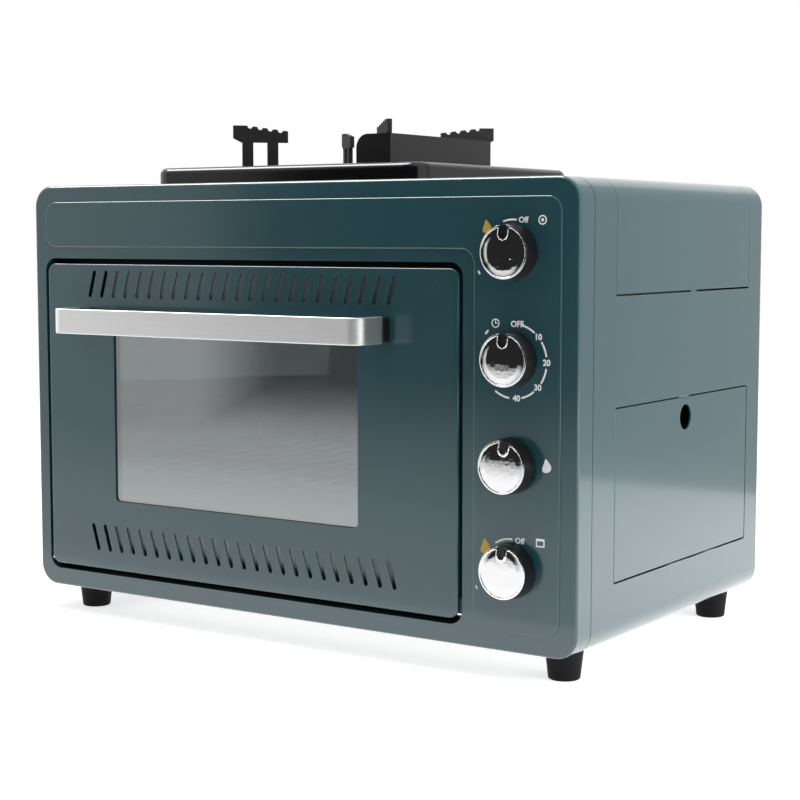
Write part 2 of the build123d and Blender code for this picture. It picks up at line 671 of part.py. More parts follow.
def tube(path, radius, bore=0.0):
    """A bar or tube along a path of straight runs and arcs."""
    start = Plane(origin=path @ 0, z_dir=path % 0)
    bar = sweep(start * Circle(radius), path=path)
    if bore:
        bar -= sweep(start * Circle(bore), path=path)
    return bar


def wire_shelf():
    """Wire shelf: a rounded rim, two bearers and the wires between front and rear."""
    reach = 2 * RACK_R + SHELF_GAP + SHELF_RIM_R
    x0 = CAVITY_X0 + reach
    x1 = CAVITY_X1 - reach
    y0 = CHASSIS_Y + SHELF_INSET
    y1 = CAVITY_BACK - SHELF_INSET
    z = SHELF_Z + SHELF_RIM_R
    r = SHELF_CORNER_R
    path = FilletPolyline((x0, y0, z), (x1, y0, z), (x1, y1, z), (x0, y1, z), radius=r,
                          close=True)
    shelf = tube(path, SHELF_RIM_R)
    wire_z = z + SHELF_RIM_R + SHELF_WIRE_R - SHELF_WELD
    bearer_z = wire_z - 2 * SHELF_WIRE_R + SHELF_WELD / 2
    for share in (1 / 3, 2 / 3):
        shelf += rod_x(SHELF_WIRE_R, x0, x1, y0 + share * (y1 - y0), bearer_z)
    pitch = (x1 - x0) / (SHELF_WIRES + 1)
    for number in range(1, SHELF_WIRES + 1):
        shelf += rod_y(SHELF_WIRE_R, y0 - SHELF_WIRE_R, y1 + SHELF_WIRE_R,
                       x0 + number * pitch, wire_z)
    return shelf


def burner_cover():
    """Bent sheet over the oven burner: flanges down to the floor and rows of slots."""
    x0 = CAVITY_X0 + COVER_X_INSET
    x1 = CAVITY_X1 - COVER_X_INSET
    y0 = CHASSIS_Y + COVER_Y_INSET
    y1 = CAVITY_BACK - COVER_Y_INSET
    cover = block(x0, x1, y0, y1, CAVITY_Z0, COVER_Z)
    cover -= block(x0 + LINER_T, x1 - LINER_T, y0, y1, CAVITY_Z0, COVER_Z - LINER_T)
    for x in burner_leg_places():
        slots = vent_field((x, (y0 + y1) / 2), COVER_SLOT_COUNTS)
        cover -= along_z(slots, COVER_Z - LINER_T, COVER_Z)
    cover -= block(x1 - LINER_T, x1, INLET_Y - 2 * BURNER_TUBE_R, SENSOR_Y + BURNER_TUBE_R,
                   CAVITY_Z0, COVER_Z - LINER_T)
    return cover


def burner_leg_places():
    """The X places of the oven burner's two legs."""
    return (CAVITY_X0 + BURNER_LEG_INSET, CAVITY_X1 - BURNER_LEG_INSET)


def oven_burner():
    """U-shaped tube burner on two feet, slit along its legs, with an inlet to the right."""
    left, right = burner_leg_places()
    y0 = CHASSIS_Y + BURNER_END_INSET
    y1 = CAVITY_BACK - BURNER_END_INSET
    corners = [(left, y0), (left, y1), (right, y1), (right, y0)]
    path = FilletPolyline(*[(x, y, BURNER_TUBE_Z) for x, y in corners], radius=BURNER_BEND_R)
    bore = BURNER_TUBE_R - BURNER_TUBE_WALL
    burner = tube(path, BURNER_TUBE_R, bore)
    inlet_x1 = BULKHEAD_X - INLET_GAP
    burner += rod_x(BURNER_TUBE_R, right, inlet_x1, INLET_Y, BURNER_TUBE_Z)
    burner -= rod_x(bore, right, inlet_x1, INLET_Y, BURNER_TUBE_Z)
    middle = (y0 + y1) / 2
    for x in (left, right):
        burner += rod_y(BURNER_TUBE_R, y0, y0 + BURNER_TUBE_WALL, x, BURNER_TUBE_Z)
        burner += block(x - BURNER_TUBE_R / 2, x + BURNER_TUBE_R / 2, middle, middle + SLIT_W,
                        CAVITY_Z0, BURNER_TUBE_Z - bore)
        for number in range(BURNER_SLIT_COUNT):
            y = y0 + BURNER_BEND_R + number * (y1 - y0 - 2 * BURNER_BEND_R) / BURNER_SLIT_COUNT
            burner -= block(x - BURNER_TUBE_R, x + BURNER_TUBE_R, y, y + SLIT_W,
                            BURNER_TUBE_Z + bore / 2, BURNER_TUBE_Z + bore)
    return burner


def probe_x(y):
    """A ceramic-bodied probe through the liner's wall, its tip over the burner."""
    wall = CAVITY_X1 + LINER_T
    body = rod_x(PROBE_R, wall - PROBE_L / 2, wall + PROBE_L / 2, y, PROBE_Z)
    tip_x = wall - PROBE_L / 2
    return (body + rod_x(PROBE_TIP_R, tip_x - PROBE_TIP_L, tip_x, y, PROBE_Z)).solid()


# ---- oven door ------------------------------------------------------------------------
def door_outline(inset):
    """The door's front outline, moved inwards."""
    return frame_sketch(DOOR_X0 + inset, DOOR_X1 - inset, DOOR_Z0 + inset, DOOR_Z1 - inset,
                        DOOR_R - inset)


def window_outline(grow):
    """The window's outline, moved outwards."""
    return frame_sketch(WINDOW_X0 - grow, WINDOW_X1 + grow, WINDOW_Z0 - grow,
                        WINDOW_Z1 + grow, WINDOW_R)


def slot_row(height, lean):
    """A row of leaning slots across the door."""
    centre_x = (DOOR_X0 + DOOR_X1) / 2 - SLOTS_SHIFT
    row = Sketch()
    for number in range(SLOT_COUNT):
        x = centre_x + (number - (SLOT_COUNT - 1) / 2) * SLOT_PITCH
        row += Pos(x, height) * SlotOverall(SLOT_H, SLOT_W, rotation=90 - lean)
    return row


def door_panel():
    """Outer door sheet with the window, the slots and turned-back edges."""
    panel = along_y(door_outline(0), DOOR_Y0, DOOR_Y1 - SHEET)
    panel = fillet(front_edges(panel), DOOR_EDGE_R)
    panel -= along_y(door_outline(SHEET), DOOR_Y0 + SHEET, DOOR_Y1 - SHEET)
    panel -= along_y(window_outline(0), DOOR_Y0, DOOR_Y0 + SHEET)
    upper = (DOOR_Z1 - UPPER_SLOTS_DROP, SLOT_LEAN)
    lower = (DOOR_Z0 + LOWER_SLOTS_RISE, -SLOT_LEAN)
    for height, lean in (upper, lower):
        panel -= along_y(slot_row(height, lean), DOOR_Y0, DOOR_Y0 + SHEET)
    panel -= rod_x(HINGE_PIN_R + PIN_CLEARANCE, DOOR_X0, DOOR_X1, HINGE_Y, HINGE_Z)
    return panel


def door_inner_frame():
    """Inner door sheet with a tunnel round the window that backs the glass."""
    y0 = DOOR_Y1 - SHEET
    frame = along_y(door_outline(FIT), y0, DOOR_Y1)
    frame += along_y(window_outline(CLIP_LAP + SHEET) - window_outline(CLIP_LAP),
                     GLASS_BACK + GLASS_SEAT, y0)
    frame -= along_y(window_outline(CLIP_LAP), y0, DOOR_Y1)
    return frame


def door_glass():
    """Toughened glass behind the window."""
    return along_y(window_outline(GLASS_LAP), GLASS_BACK - GLASS_T, GLASS_BACK)


def glass_clips():
    """Four sheet clips that press the glass to the door sheet."""
    clips = []
    for x_out, side in ((WINDOW_X0 - GLASS_LAP, -1), (WINDOW_X1 + GLASS_LAP, 1)):
        for z in (WINDOW_Z0, WINDOW_Z1 - CLIP_W):
            near = x_out + side * FIT
            far = near + side * CLIP_T
            tip = x_out - side * (GLASS_LAP - CLIP_LAP - 2 * SHEET)
            leg = block(min(near, far), max(near, far), DOOR_Y0 + SHEET,
                        GLASS_BACK + CLIP_T, z, z + CLIP_W)
            lap = block(min(tip, far), max(tip, far), GLASS_BACK, GLASS_BACK + CLIP_T,
                        z, z + CLIP_W)
            clips.append((leg + lap).solid())
    return Compound(clips)


def door_handle():
    """Broad flat bar, bent back at both ends."""
    z0 = HANDLE_Z0
    z1 = HANDLE_Z0 + HANDLE_H
    back_y = DOOR_Y0 - POST_L
    corners = [(HANDLE_X0, back_y), (HANDLE_X0, -HANDLE_REACH),
               (HANDLE_X1, -HANDLE_REACH), (HANDLE_X1, back_y)]
    outer = make_face(Polyline(*corners, close=True))
    outer = fillet(outer.vertices().group_by(Axis.Y)[0], HANDLE_BEND_R)
    t = HANDLE_T
    corners = [(HANDLE_X0 + t, back_y), (HANDLE_X0 + t, t - HANDLE_REACH),
               (HANDLE_X1 - t, t - HANDLE_REACH), (HANDLE_X1 - t, back_y)]
    inner = make_face(Polyline(*corners, close=True))
    inner = fillet(inner.vertices().group_by(Axis.Y)[0], HANDLE_BEND_R - t)
    bar = along_z(outer, z0, z1)
    ends = bar.faces().sort_by(Axis.Z)
    face_edges = (ends[0].edges() + ends[-1].edges()) - rear_edges(bar)
    return fillet(face_edges, HANDLE_EDGE_R) - along_z(inner, z0, z1)


def handle_posts():
    """Black stand-offs that keep the bar off the hot door."""
    posts = []
    for x0 in (HANDLE_X0 - POST_INSET, HANDLE_X1 + POST_INSET - POST_W):
        post = block(x0, x0 + POST_W, DOOR_Y0 - POST_L, DOOR_Y0, HANDLE_Z0 + POST_INSET,
                     HANDLE_Z0 + HANDLE_H - POST_INSET)
        posts.append(fillet(post.edges().filter_by(Axis.Y), POST_INSET).solid())
    return Compound(posts)


def door_hinge_blocks():
    """Black blocks in the lower corners of the fascia's opening, bored for the pins."""
    blocks = []
    for x0, x1 in ((OPENING_X0, DOOR_X0 - BAY_GAP), (DOOR_X1 + BAY_GAP, OPENING_X1)):
        body = block(x0, x1, SHEET, HINGE_BLOCK_D, OPENING_Z0 + OPENING_R / 2,
                     OPENING_Z0 + OPENING_R / 2 + HINGE_BLOCK_H)
        body = body & along_y(opening_outline(0), SHEET, HINGE_BLOCK_D)
        body -= rod_x(HINGE_PIN_R + PIN_CLEARANCE, x0, x1, HINGE_Y, HINGE_Z)
        blocks.append(body.solid())
    return Compound(blocks)


def door_hinge_pins():
    """Pins from the blocks into the door's turned-back sides."""
    left = OPENING_X0 + SHEET
    right = OPENING_X1 - SHEET
    return Compound([
        rod_x(HINGE_PIN_R, left, left + HINGE_PIN_L, HINGE_Y, HINGE_Z).solid(),
        rod_x(HINGE_PIN_R, right - HINGE_PIN_L, right, HINGE_Y, HINGE_Z).solid(),
    ])


def catch_magnets():
    """Two magnets above the oven's mouth and the gas bay door's catch block."""
    catches = [rod_y(MAGNET_R, DOOR_Y1 + 2 * FIT, DOOR_Y1 + 2 * FIT + MAGNET_L, x, z).solid()
               for x, z in magnet_places()]
    inner = BODY_W - SHEET
    low = BAY_DOOR_Z1 - MAGNET_L
    block_x0 = inner - BAY_DOOR_RETURN
    y0 = BAY_Y - 2 * MAGNET_R
    y1 = BAY_Y + 2 * MAGNET_R
    catch = block(block_x0, inner, y0, y1, BAY_DOOR_Z1, BAY_DOOR_Z1 + MAGNET_L)
    catch += block(block_x0, inner - 2 * FIT, y0, y1, low, BAY_DOOR_Z1)
    catches.append(catch.solid())
    return Compound(catches)


# ---- knobs ----------------------------------------------------------------------------
def knob_gap(name):
    """The space between a knob's skirt and the raised field."""
    return SAFETY_TRAVEL + SAFETY_REST if name == "safety" else KNOB_GAP


def knob_face(name):
    """The Y of a knob's face."""
    return PANEL_Y - knob_gap(name) - KNOB_D


def knob_place(name):
    """A knob's place on the panel, turned to its rest position."""
    turn = SAFETY_TURN if name == "safety" else 0
    return Pos(KNOB_X, KNOB_Z[name]) * Rot(0, 0, turn)


def spindle_section(clearance):
    """A round with a flat at its lower side."""
    reach = SPINDLE_R + clearance
    flat = Pos(0, -2 * reach + SPINDLE_FLAT - clearance) * Rectangle(4 * reach, 2 * reach)
    return Circle(reach) - flat


def knob_cone(name, inset, y0, y1):
    """The knob's tapered round between two depths, moved inwards."""
    radii = (KNOB_BASE_R - inset, KNOB_FACE_R - inset)
    centre = Pos(KNOB_X, (y0 + y1) / 2, KNOB_Z[name])
    return centre * Rot(90, 0, 0) * Cone(*radii, y1 - y0)


def knob_body(name):
    """Black knob: hollow skirt, boss with a blind D bore and ribs."""
    front = knob_face(name) + CAP_T
    rear = knob_face(name) + KNOB_D
    inside = front + KNOB_WALL
    body = knob_cone(name, 0, front, rear) - knob_cone(name, KNOB_WALL, inside, rear)
    inner_r = KNOB_FACE_R - KNOB_WALL
    ribs = Sketch() + [Rot(0, 0, turn * 180 / KNOB_RIBS) * Rectangle(2 * inner_r, SHEET)
                       for turn in range(KNOB_RIBS)]
    ribs += Circle(BOSS_R)
    body += along_y(knob_place(name) * ribs, inside, rear - KNOB_WALL)
    body -= along_y(knob_place(name) * spindle_section(PIN_CLEARANCE), inside, rear)
    return body


def knob_cap(name):
    """Bright cap: a rim round the face and round the pointer notch, and a domed field."""
    face = knob_face(name)
    cap = along_y(knob_place(name) * Circle(KNOB_FACE_R), face, face + CAP_T)
    cap = fillet(front_edges(cap), CAP_EDGE_R)
    field = Circle(KNOB_FACE_R - CAP_RIM) - notch(CAP_RIM)
    sunk = along_y(knob_place(name) * field, face, face + CAP_T)
    dome = Pos(KNOB_X, face + DOME_DROP + DOME_R, KNOB_Z[name]) * Sphere(DOME_R)
    cap = cap - sunk + (sunk & dome)
    return cap - along_y(knob_place(name) * notch(0), face, face + CAP_T)


def notch(grow):
    """The pointer notch in the cap's edge, moved outwards."""
    height = 2 * (NOTCH_L + grow)
    return Pos(0, KNOB_FACE_R) * SlotOverall(height, NOTCH_W + 2 * grow, rotation=90)


def knob_spindle(name):
    """Steel spindle from the knob's bore into the valve."""
    front = knob_face(name) + CAP_T + KNOB_WALL
    shoulder = knob_face(name) + KNOB_D
    spindle = along_y(knob_place(name) * spindle_section(0), front, shoulder)
    return spindle + rod_y(SPINDLE_R, shoulder, SPINDLE_END, KNOB_X, KNOB_Z[name])


# ---- gas bays -------------------------------------------------------------------------
def gas_bay_wall():
    """Steel wall between the oven and the gas bays, from the base pan to the top."""
    y0 = CHASSIS_Y + CHASSIS_LIP_REAR + 2 * FIT + SHEET
    y1 = PAN_Y1 - FIT - SHEET
    x1 = BULKHEAD_X + SHEET
    wall = block(BULKHEAD_X, x1, y0, y1, 2 * SHEET, TOP - SHEET)
    wall -= rod_x(BURNER_TUBE_R + SHEET, BULKHEAD_X, x1, INLET_Y, BURNER_TUBE_Z)
    wall -= rod_x(PORT_R, BULKHEAD_X, x1, PORT_Y, KNOB_Z["stove"])
    return wall


def cradle(z, axis_z):
    """Shelf of a gas bay with two ribs that hold the cartridge."""
    x0 = BULKHEAD_X + SHEET
    x1 = BODY_W - SHEET - FIT
    y0 = BAY_Y0 - CRADLE_MARGIN
    y1 = BAY_Y1 + CRADLE_MARGIN
    shelf = block(x0, x1, y0, y1, z, z + SHEET)
    rib_top = axis_z - sqrt(CARTRIDGE_R ** 2 - CRADLE_RIB_X ** 2)
    rib_y0 = BAY_Y - CARTRIDGE_L / 2
    for x in (KNOB_X - CRADLE_RIB_X, KNOB_X + CRADLE_RIB_X):
        shelf += block(x - CRADLE_RIB_T / 2, x + CRADLE_RIB_T / 2, rib_y0,
                       rib_y0 + CARTRIDGE_L, z + SHEET, rib_top)
    return shelf


def upper_cradle():
    """Cradle of the stove's cartridge."""
    return cradle(STOVE_CRADLE_Z, KNOB_Z["stove"])


def lower_cradle():
    """Cradle of the oven's cartridge, with a hole for the oven's gas pipe."""
    shelf = cradle(OVEN_CRADLE_Z, OVEN_CARTRIDGE_Z)
    return shelf - rod_z(PORT_R, OVEN_CRADLE_Z, OVEN_CRADLE_Z + SHEET, OVEN_JET_X, INLET_Y)


def regulator_bracket():
    """Upright plate on the lower cradle that carries the oven's regulator."""
    z0 = OVEN_CRADLE_Z + SHEET
    plate = block(BULKHEAD_X + SHEET, BODY_W - SHEET - FIT, BRACKET_Y, BRACKET_Y + SHEET,
                  z0, z0 + BRACKET_H)
    return plate - rod_y(NECK_R + PIN_CLEARANCE, BRACKET_Y, BRACKET_Y + SHEET, KNOB_X,
                         OVEN_CARTRIDGE_Z)


def collar(y0, z):
    """Bayonet collar that takes the cartridge's neck."""
    ring = rod_y(COLLAR_R, y0, y0 + COLLAR_L, KNOB_X, z)
    ring -= rod_y(COLLAR_R - 2 * SHEET, y0 + SHEET, y0 + COLLAR_L, KNOB_X, z)
    slot = block(KNOB_X - SHEET, KNOB_X + SHEET, y0 + SHEET, y0 + COLLAR_L, z,
                 z + COLLAR_R)
    return ring - slot


def oven_regulator():
    """Regulator of the oven's cartridge, its neck through the bracket."""
    z = OVEN_CARTRIDGE_Z
    body = rod_y(REGULATOR_R, REGULATOR_Y0, REGULATOR_Y0 + REGULATOR_L, KNOB_X, z)
    body += rod_y(NECK_R, BRACKET_Y - SHEET, REGULATOR_Y0, KNOB_X, z)
    body += rod_x(PORT_R, KNOB_X, KNOB_X + REGULATOR_R + PORT_L, REGULATOR_PORT_Y, z)
    return body + collar(REGULATOR_Y0 + REGULATOR_L, z)


def valve(name, sides):
    """A gas valve behind the chassis: neck, body, side ports and the spindle's bore."""
    z = KNOB_Z[name]
    body = rod_y(VALVE_R, VALVE_Y0, VALVE_Y0 + VALVE_L, KNOB_X, z)
    body += rod_y(NECK_R, VALVE_Y0 - NECK_L, VALVE_Y0, KNOB_X, z)
    for side in sides:
        reach = KNOB_X + side * PORT_OUT
        body += rod_x(PORT_R, min(KNOB_X, reach), max(KNOB_X, reach), PORT_Y, z)
    return body


def spindle_bore(name):
    """The bore a spindle turns and slides in."""
    return rod_y(SPINDLE_R + PIN_CLEARANCE, VALVE_Y0 - NECK_L,
                 SPINDLE_END + SAFETY_TRAVEL + SAFETY_REST, KNOB_X, KNOB_Z[name])


def stove_regulator_valve():
    """Valve and regulator of the stove in one body, with the cartridge's collar."""
    z = KNOB_Z["stove"]
    y0 = VALVE_Y0 + VALVE_L
    body = valve("stove", [-1]) + rod_y(REGULATOR_R, y0, y0 + REGULATOR_L, KNOB_X, z)
    return body + collar(y0 + REGULATOR_L, z) - spindle_bore("stove")


def flame_safety_valve():
    """Push valve that the flame sensor holds open."""
    return valve("safety", [-1, 1]) - spindle_bore("safety")


def oven_valve():
    """The oven's gas valve, with its outlet at the bottom."""
    z = KNOB_Z["oven"]
    body = valve("oven", [-1]) + rod_z(PORT_R, z - PORT_OUT, z, KNOB_X, PORT_Y)
    return body - spindle_bore("oven")


def oven_timer():
    """Clockwork timer: a square case, its neck and a bell at the rear."""
    z = KNOB_Z["timer"]
    half = TIMER_W / 2
    rear = VALVE_Y0 + TIMER_L
    case = block(KNOB_X - half, KNOB_X + half, VALVE_Y0, rear, z - half, z + half)
    case += rod_y(TIMER_BELL_R, rear, rear + TIMER_BELL_H, KNOB_X, z)
    case += rod_y(NECK_R, VALVE_Y0 - NECK_L, VALVE_Y0, KNOB_X, z)
    return case - spindle_bore("timer")


def valve_nuts():
    """The four hexagon nuts that clamp the valves and the timer to the chassis."""
    section = RegularPolygon(NUT_AF / 2, 6, major_radius=False) - Circle(NECK_R + PIN_CLEARANCE)
    nuts = [along_y(Pos(KNOB_X, z) * section, CHASSIS_Y - NUT_H, CHASSIS_Y).solid()
            for z in KNOB_Z.values()]
    return Compound(nuts)


def pipe(*points):
    """A bent gas pipe through a row of corners."""
    path = FilletPolyline(*points, radius=PIPE_BEND_R)
    return tube(path, PIPE_R, PIPE_R - PIPE_WALL).solid()


def jetted_pipe(jet_x, *points):
    """A gas pipe whose last run ends in a jet that points towards -X."""
    y, z = points[-1][1:]
    end = (jet_x + JET_L, y, z)
    bore = PIPE_R - PIPE_WALL
    jet = rod_x(JET_R, jet_x, jet_x + JET_L, y, z)
    jet -= rod_x(SLIT_W / 2, jet_x, jet_x + JET_L - SHEET, y, z)
    jet -= rod_x(bore, jet_x + JET_L - SHEET, jet_x + JET_L, y, z)
    return (pipe(*points, end) + jet).solid()


def gas_pipes():
    """The four pipes: to the stove, regulator to safety valve, on to the oven and its jet."""
    stove_z = KNOB_Z["stove"]
    safety_z = KNOB_Z["safety"]
    oven_z = KNOB_Z["oven"]
    left = KNOB_X - PORT_OUT
    right = KNOB_X + PORT_OUT
    mouth = BURNER_X + MIX_TUBE_L + JET_GAP
    inlet = BULKHEAD_X - INLET_GAP + JET_GAP
    stove = jetted_pipe(
        mouth, (left, PORT_Y, stove_z), (STOVE_RUN_X, PORT_Y, stove_z),
        (STOVE_RUN_X, BURNER_Y, stove_z), (STOVE_RUN_X, BURNER_Y, MIX_TUBE_Z))
    feed = pipe(
        (KNOB_X + REGULATOR_R + PORT_L, REGULATOR_PORT_Y, OVEN_CARTRIDGE_Z),
        (FEED_X, REGULATOR_PORT_Y, OVEN_CARTRIDGE_Z), (FEED_X, REGULATOR_PORT_Y, safety_z),
        (FEED_X, PORT_Y, safety_z), (right, PORT_Y, safety_z))
    link = pipe((left, PORT_Y, safety_z), (LOOP_X, PORT_Y, safety_z),
                (LOOP_X, PORT_Y, oven_z), (left, PORT_Y, oven_z))
    oven = jetted_pipe(
        inlet, (KNOB_X, PORT_Y, oven_z - PORT_OUT), (KNOB_X, PORT_Y, LOW_RUN_Z),
        (OVEN_JET_X, PORT_Y, LOW_RUN_Z), (OVEN_JET_X, INLET_Y, LOW_RUN_Z),
        (OVEN_JET_X, INLET_Y, BURNER_TUBE_Z))
    return Compound([stove, feed, link, oven])


def canister_lid():
    """Lid over the stove's cartridge: it wraps the casing's corner and swings up."""
    y0 = BAY_Y0 + BAY_GAP
    y1 = BAY_Y1 - BAY_GAP
    lid = along_y(outline(0) - outline(SHEET), y0, y1)
    for start in (y0, y1 - SHEET):
        lid += along_y(outline(0) - outline(LID_RETURN), start, start + SHEET)
    lid = lid & block(LID_HINGE_X, BODY_W, y0, y1, LID_Z0 + LID_SEAM, TOP)
    axis_z = TOP - LID_HINGE_DROP
    for start in (y0, BAY_Y - LID_KNUCKLE_L / 2, y1 - LID_KNUCKLE_L):
        lid += rod_y(LID_KNUCKLE_R, start, start + LID_KNUCKLE_L, LID_HINGE_X, axis_z)
    return lid - rod_y(LID_PIN_R + PIN_CLEARANCE, y0, y1, LID_HINGE_X, axis_z)


def lid_lug_places():
    """The Y starts of the two lugs, one at each end of the lid's opening."""
    return (BAY_Y0 - LUG_L, BAY_Y1)


def lid_hinge_brackets():
    """Two lugs under the casing's top that hold the lid's pin."""
    axis_z = TOP - LID_HINGE_DROP
    lugs = []
    for y in lid_lug_places():
        lug = block(LID_HINGE_X - LID_KNUCKLE_R, LID_HINGE_X + LID_KNUCKLE_R, y, y + LUG_L,
                    axis_z - LID_KNUCKLE_R, TOP - SHEET)
        lug -= rod_y(LID_PIN_R + PIN_CLEARANCE, y, y + LUG_L, LID_HINGE_X, axis_z)
        lugs.append(lug.solid())
    return Compound(lugs)


def lid_hinge_pin():
    """The lid's hinge pin through lugs and knuckles."""
    y0, y1 = lid_lug_places()
    return rod_y(LID_PIN_R, y0, y1 + LUG_L, LID_HINGE_X, TOP - LID_HINGE_DROP)


def bay_door_axis():
    """The X and Z of the lower gas bay door's hinge axis."""
    return (BODY_W - BAY_DOOR_HINGE_IN, BAY_DOOR_Z0 + BAY_DOOR_HINGE_UP)


def bay_door_outline(end_gap, seam):
    """The lower gas bay's opening in the side, moved inwards along Y and along Z."""
    return frame_sketch(BAY_Y0 + end_gap, BAY_Y1 - end_gap, BAY_DOOR_Z0 + seam,
                        BAY_DOOR_Z1 - seam, BAY_CORNER_R - end_gap)


def canister_door():
    """Door of the oven's gas bay, with a finger hole and pierced end returns."""
    y0 = BAY_Y0 + BAY_GAP
    y1 = BAY_Y1 - BAY_GAP
    z0 = BAY_DOOR_Z0 + BAY_CORNER_R
    z1 = BAY_DOOR_Z1 - BAY_CORNER_R
    x, z = bay_door_axis()
    door = along_x(bay_door_outline(BAY_GAP, BAY_DOOR_SEAM), BODY_W - SHEET, BODY_W)
    outer_bottom = door.edges().filter_by(Axis.Y).group_by(Axis.Z)[0].sort_by(Axis.X)[-1]
    door = fillet(outer_bottom, BAY_DOOR_EDGE_R)
    for start in (y0, y1 - SHEET):
        door += block(BODY_W - BAY_DOOR_RETURN, BODY_W - SHEET, start, start + SHEET, z0, z1)
    door -= rod_y(LID_PIN_R + PIN_CLEARANCE, y0, y1, x, z)
    door -= rod_x(FINGER_HOLE_R, BODY_W - SHEET, BODY_W, BAY_Y,
                  BAY_DOOR_Z1 - FINGER_HOLE_DROP)
    return door


def canister_door_pivots():
    """Two lugs on the casing's side, each with a stub pin for the lower door."""
    x, z = bay_door_axis()
    r = LID_KNUCKLE_R
    pivots = []
    for y, tip in ((BAY_Y0 - LUG_L, 1), (BAY_Y1, -1)):
        lug = block(x - r, BODY_W - SHEET, y, y + LUG_L, z - r, z + r)
        face = y + LUG_L if tip > 0 else y
        ends = sorted((face, face + tip * (BAY_GAP + 2 * SHEET)))
        pivots.append((lug + rod_y(LID_PIN_R, *ends, x, z)).solid())
    return Compound(pivots)


# ---- stove ----------------------------------------------------------------------------
def tray_outline(inset):
    """The drip tray's outline seen from above, moved inwards."""
    return Pos(BURNER_X, BURNER_Y) * RectangleRounded(
        TRAY_W - 2 * inset, TRAY_D - 2 * inset, TRAY_R - inset)


def drip_tray():
    """Enamelled tray: rounded rim over a skirt, and a well with the burner's hole."""
    tray = along_z(tray_outline(0), TOP, TRAY_TOP)
    tray = fillet(tray.edges().group_by(Axis.Z)[-1], TRAY_EDGE_R)
    hollow = along_z(tray_outline(SHEET), TOP, TRAY_TOP - SHEET)
    tray -= fillet(hollow.edges().group_by(Axis.Z)[-1], TRAY_EDGE_R - SHEET)
    floor = TOP + TRAY_FLOOR_Z
    tray += along_z(tray_outline(TRAY_RIM), floor, TRAY_TOP - SHEET)
    tray -= along_z(tray_outline(TRAY_RIM + SHEET), TRAY_FLOOR, TRAY_TOP)
    tray -= rod_z(BURNER_HOLE_R, floor, TRAY_FLOOR, BURNER_X, BURNER_Y)
    tray -= rod_z(PROBE_R + SHEET, floor, TRAY_FLOOR, BURNER_X, BURNER_Y + IGNITER_OUT)
    for y in TRAY_SCREW_Y:
        tray -= rod_z(SCREW_R + PIN_CLEARANCE, floor, TRAY_FLOOR, TRAY_SCREW_X, y)
    return tray


def burner_bracket():
    """Strip under the casing's top that carries the burner bowl."""
    half = TRAY_D / 2 - TRAY_OVERLAP
    x0 = BURNER_X - BRACKET_W / 2
    x1 = BURNER_X + BRACKET_W / 2
    top = TOP - SHEET
    strip = block(x0, x1, BURNER_Y - half, BURNER_Y + half, BOWL_Z0 - SHEET, BOWL_Z0)
    for side in (-1, 1):
        edge = BURNER_Y + side * half
        leg = sorted((edge, edge + side * SHEET))
        lap = sorted((edge, edge + side * BRACKET_LAP))
        strip += block(x0, x1, *leg, BOWL_Z0 - SHEET, top)
        strip += block(x0, x1, *lap, top - SHEET, top)
    return strip


def burner_bowl():
    """Cup under the burner head, with the mixing tube to the right."""
    bowl = rod_z(BOWL_R, BOWL_Z0, TRAY_FLOOR, BURNER_X, BURNER_Y)
    bowl += rod_z(HEAD_R, TRAY_FLOOR - SHEET, TRAY_FLOOR, BURNER_X, BURNER_Y)
    mouth = BURNER_X + MIX_TUBE_L
    bowl += rod_x(MIX_TUBE_R, BURNER_X, mouth, BURNER_Y, MIX_TUBE_Z)
    bowl -= rod_z(BOWL_R - SHEET, BOWL_Z0 + SHEET, TRAY_FLOOR, BURNER_X, BURNER_Y)
    bowl -= rod_x(MIX_TUBE_R - SHEET, BURNER_X, mouth, BURNER_Y, MIX_TUBE_Z)
    return bowl


def burner_head():
    """Ring of flame ports."""
    z0 = TRAY_FLOOR
    head = rod_z(HEAD_R, z0, HEAD_TOP, BURNER_X, BURNER_Y)
    head -= rod_z(HEAD_R - 2 * HEAD_WALL, z0, HEAD_TOP, BURNER_X, BURNER_Y)
    port = Pos(HEAD_R - HEAD_WALL, 0) * Rectangle(3 * HEAD_WALL, PORT_W)
    ports = Sketch() + [Rot(0, 0, turn * 360 / PORT_COUNT) * port for turn in range(PORT_COUNT)]
    return head - along_z(Pos(BURNER_X, BURNER_Y) * ports, z0 + HEAD_H / 2, HEAD_TOP)


def burner_cap():
    """Enamelled cap on the burner head, with a rounded edge."""
    cap = rod_z(BURNER_CAP_R, HEAD_TOP, HEAD_TOP + BURNER_CAP_H, BURNER_X, BURNER_Y)
    return fillet(cap.edges().group_by(Axis.Z)[-1], BURNER_CAP_H / 2)


def ceramic_probes():
    """The electrode and the flame sensor in the oven, and the stove's electrode."""
    y = BURNER_Y + IGNITER_OUT
    gap = (IGNITER_OUT - HEAD_R) / 2
    tip_z = HEAD_TOP - PROBE_TIP_R
    stove = rod_z(PROBE_R, BOWL_Z0, HEAD_TOP, BURNER_X, y)
    stove += rod_y(PROBE_TIP_R, y - gap, y, BURNER_X, tip_z)
    return Compound([probe_x(IGNITER_Y), probe_x(SENSOR_Y), stove.solid()])


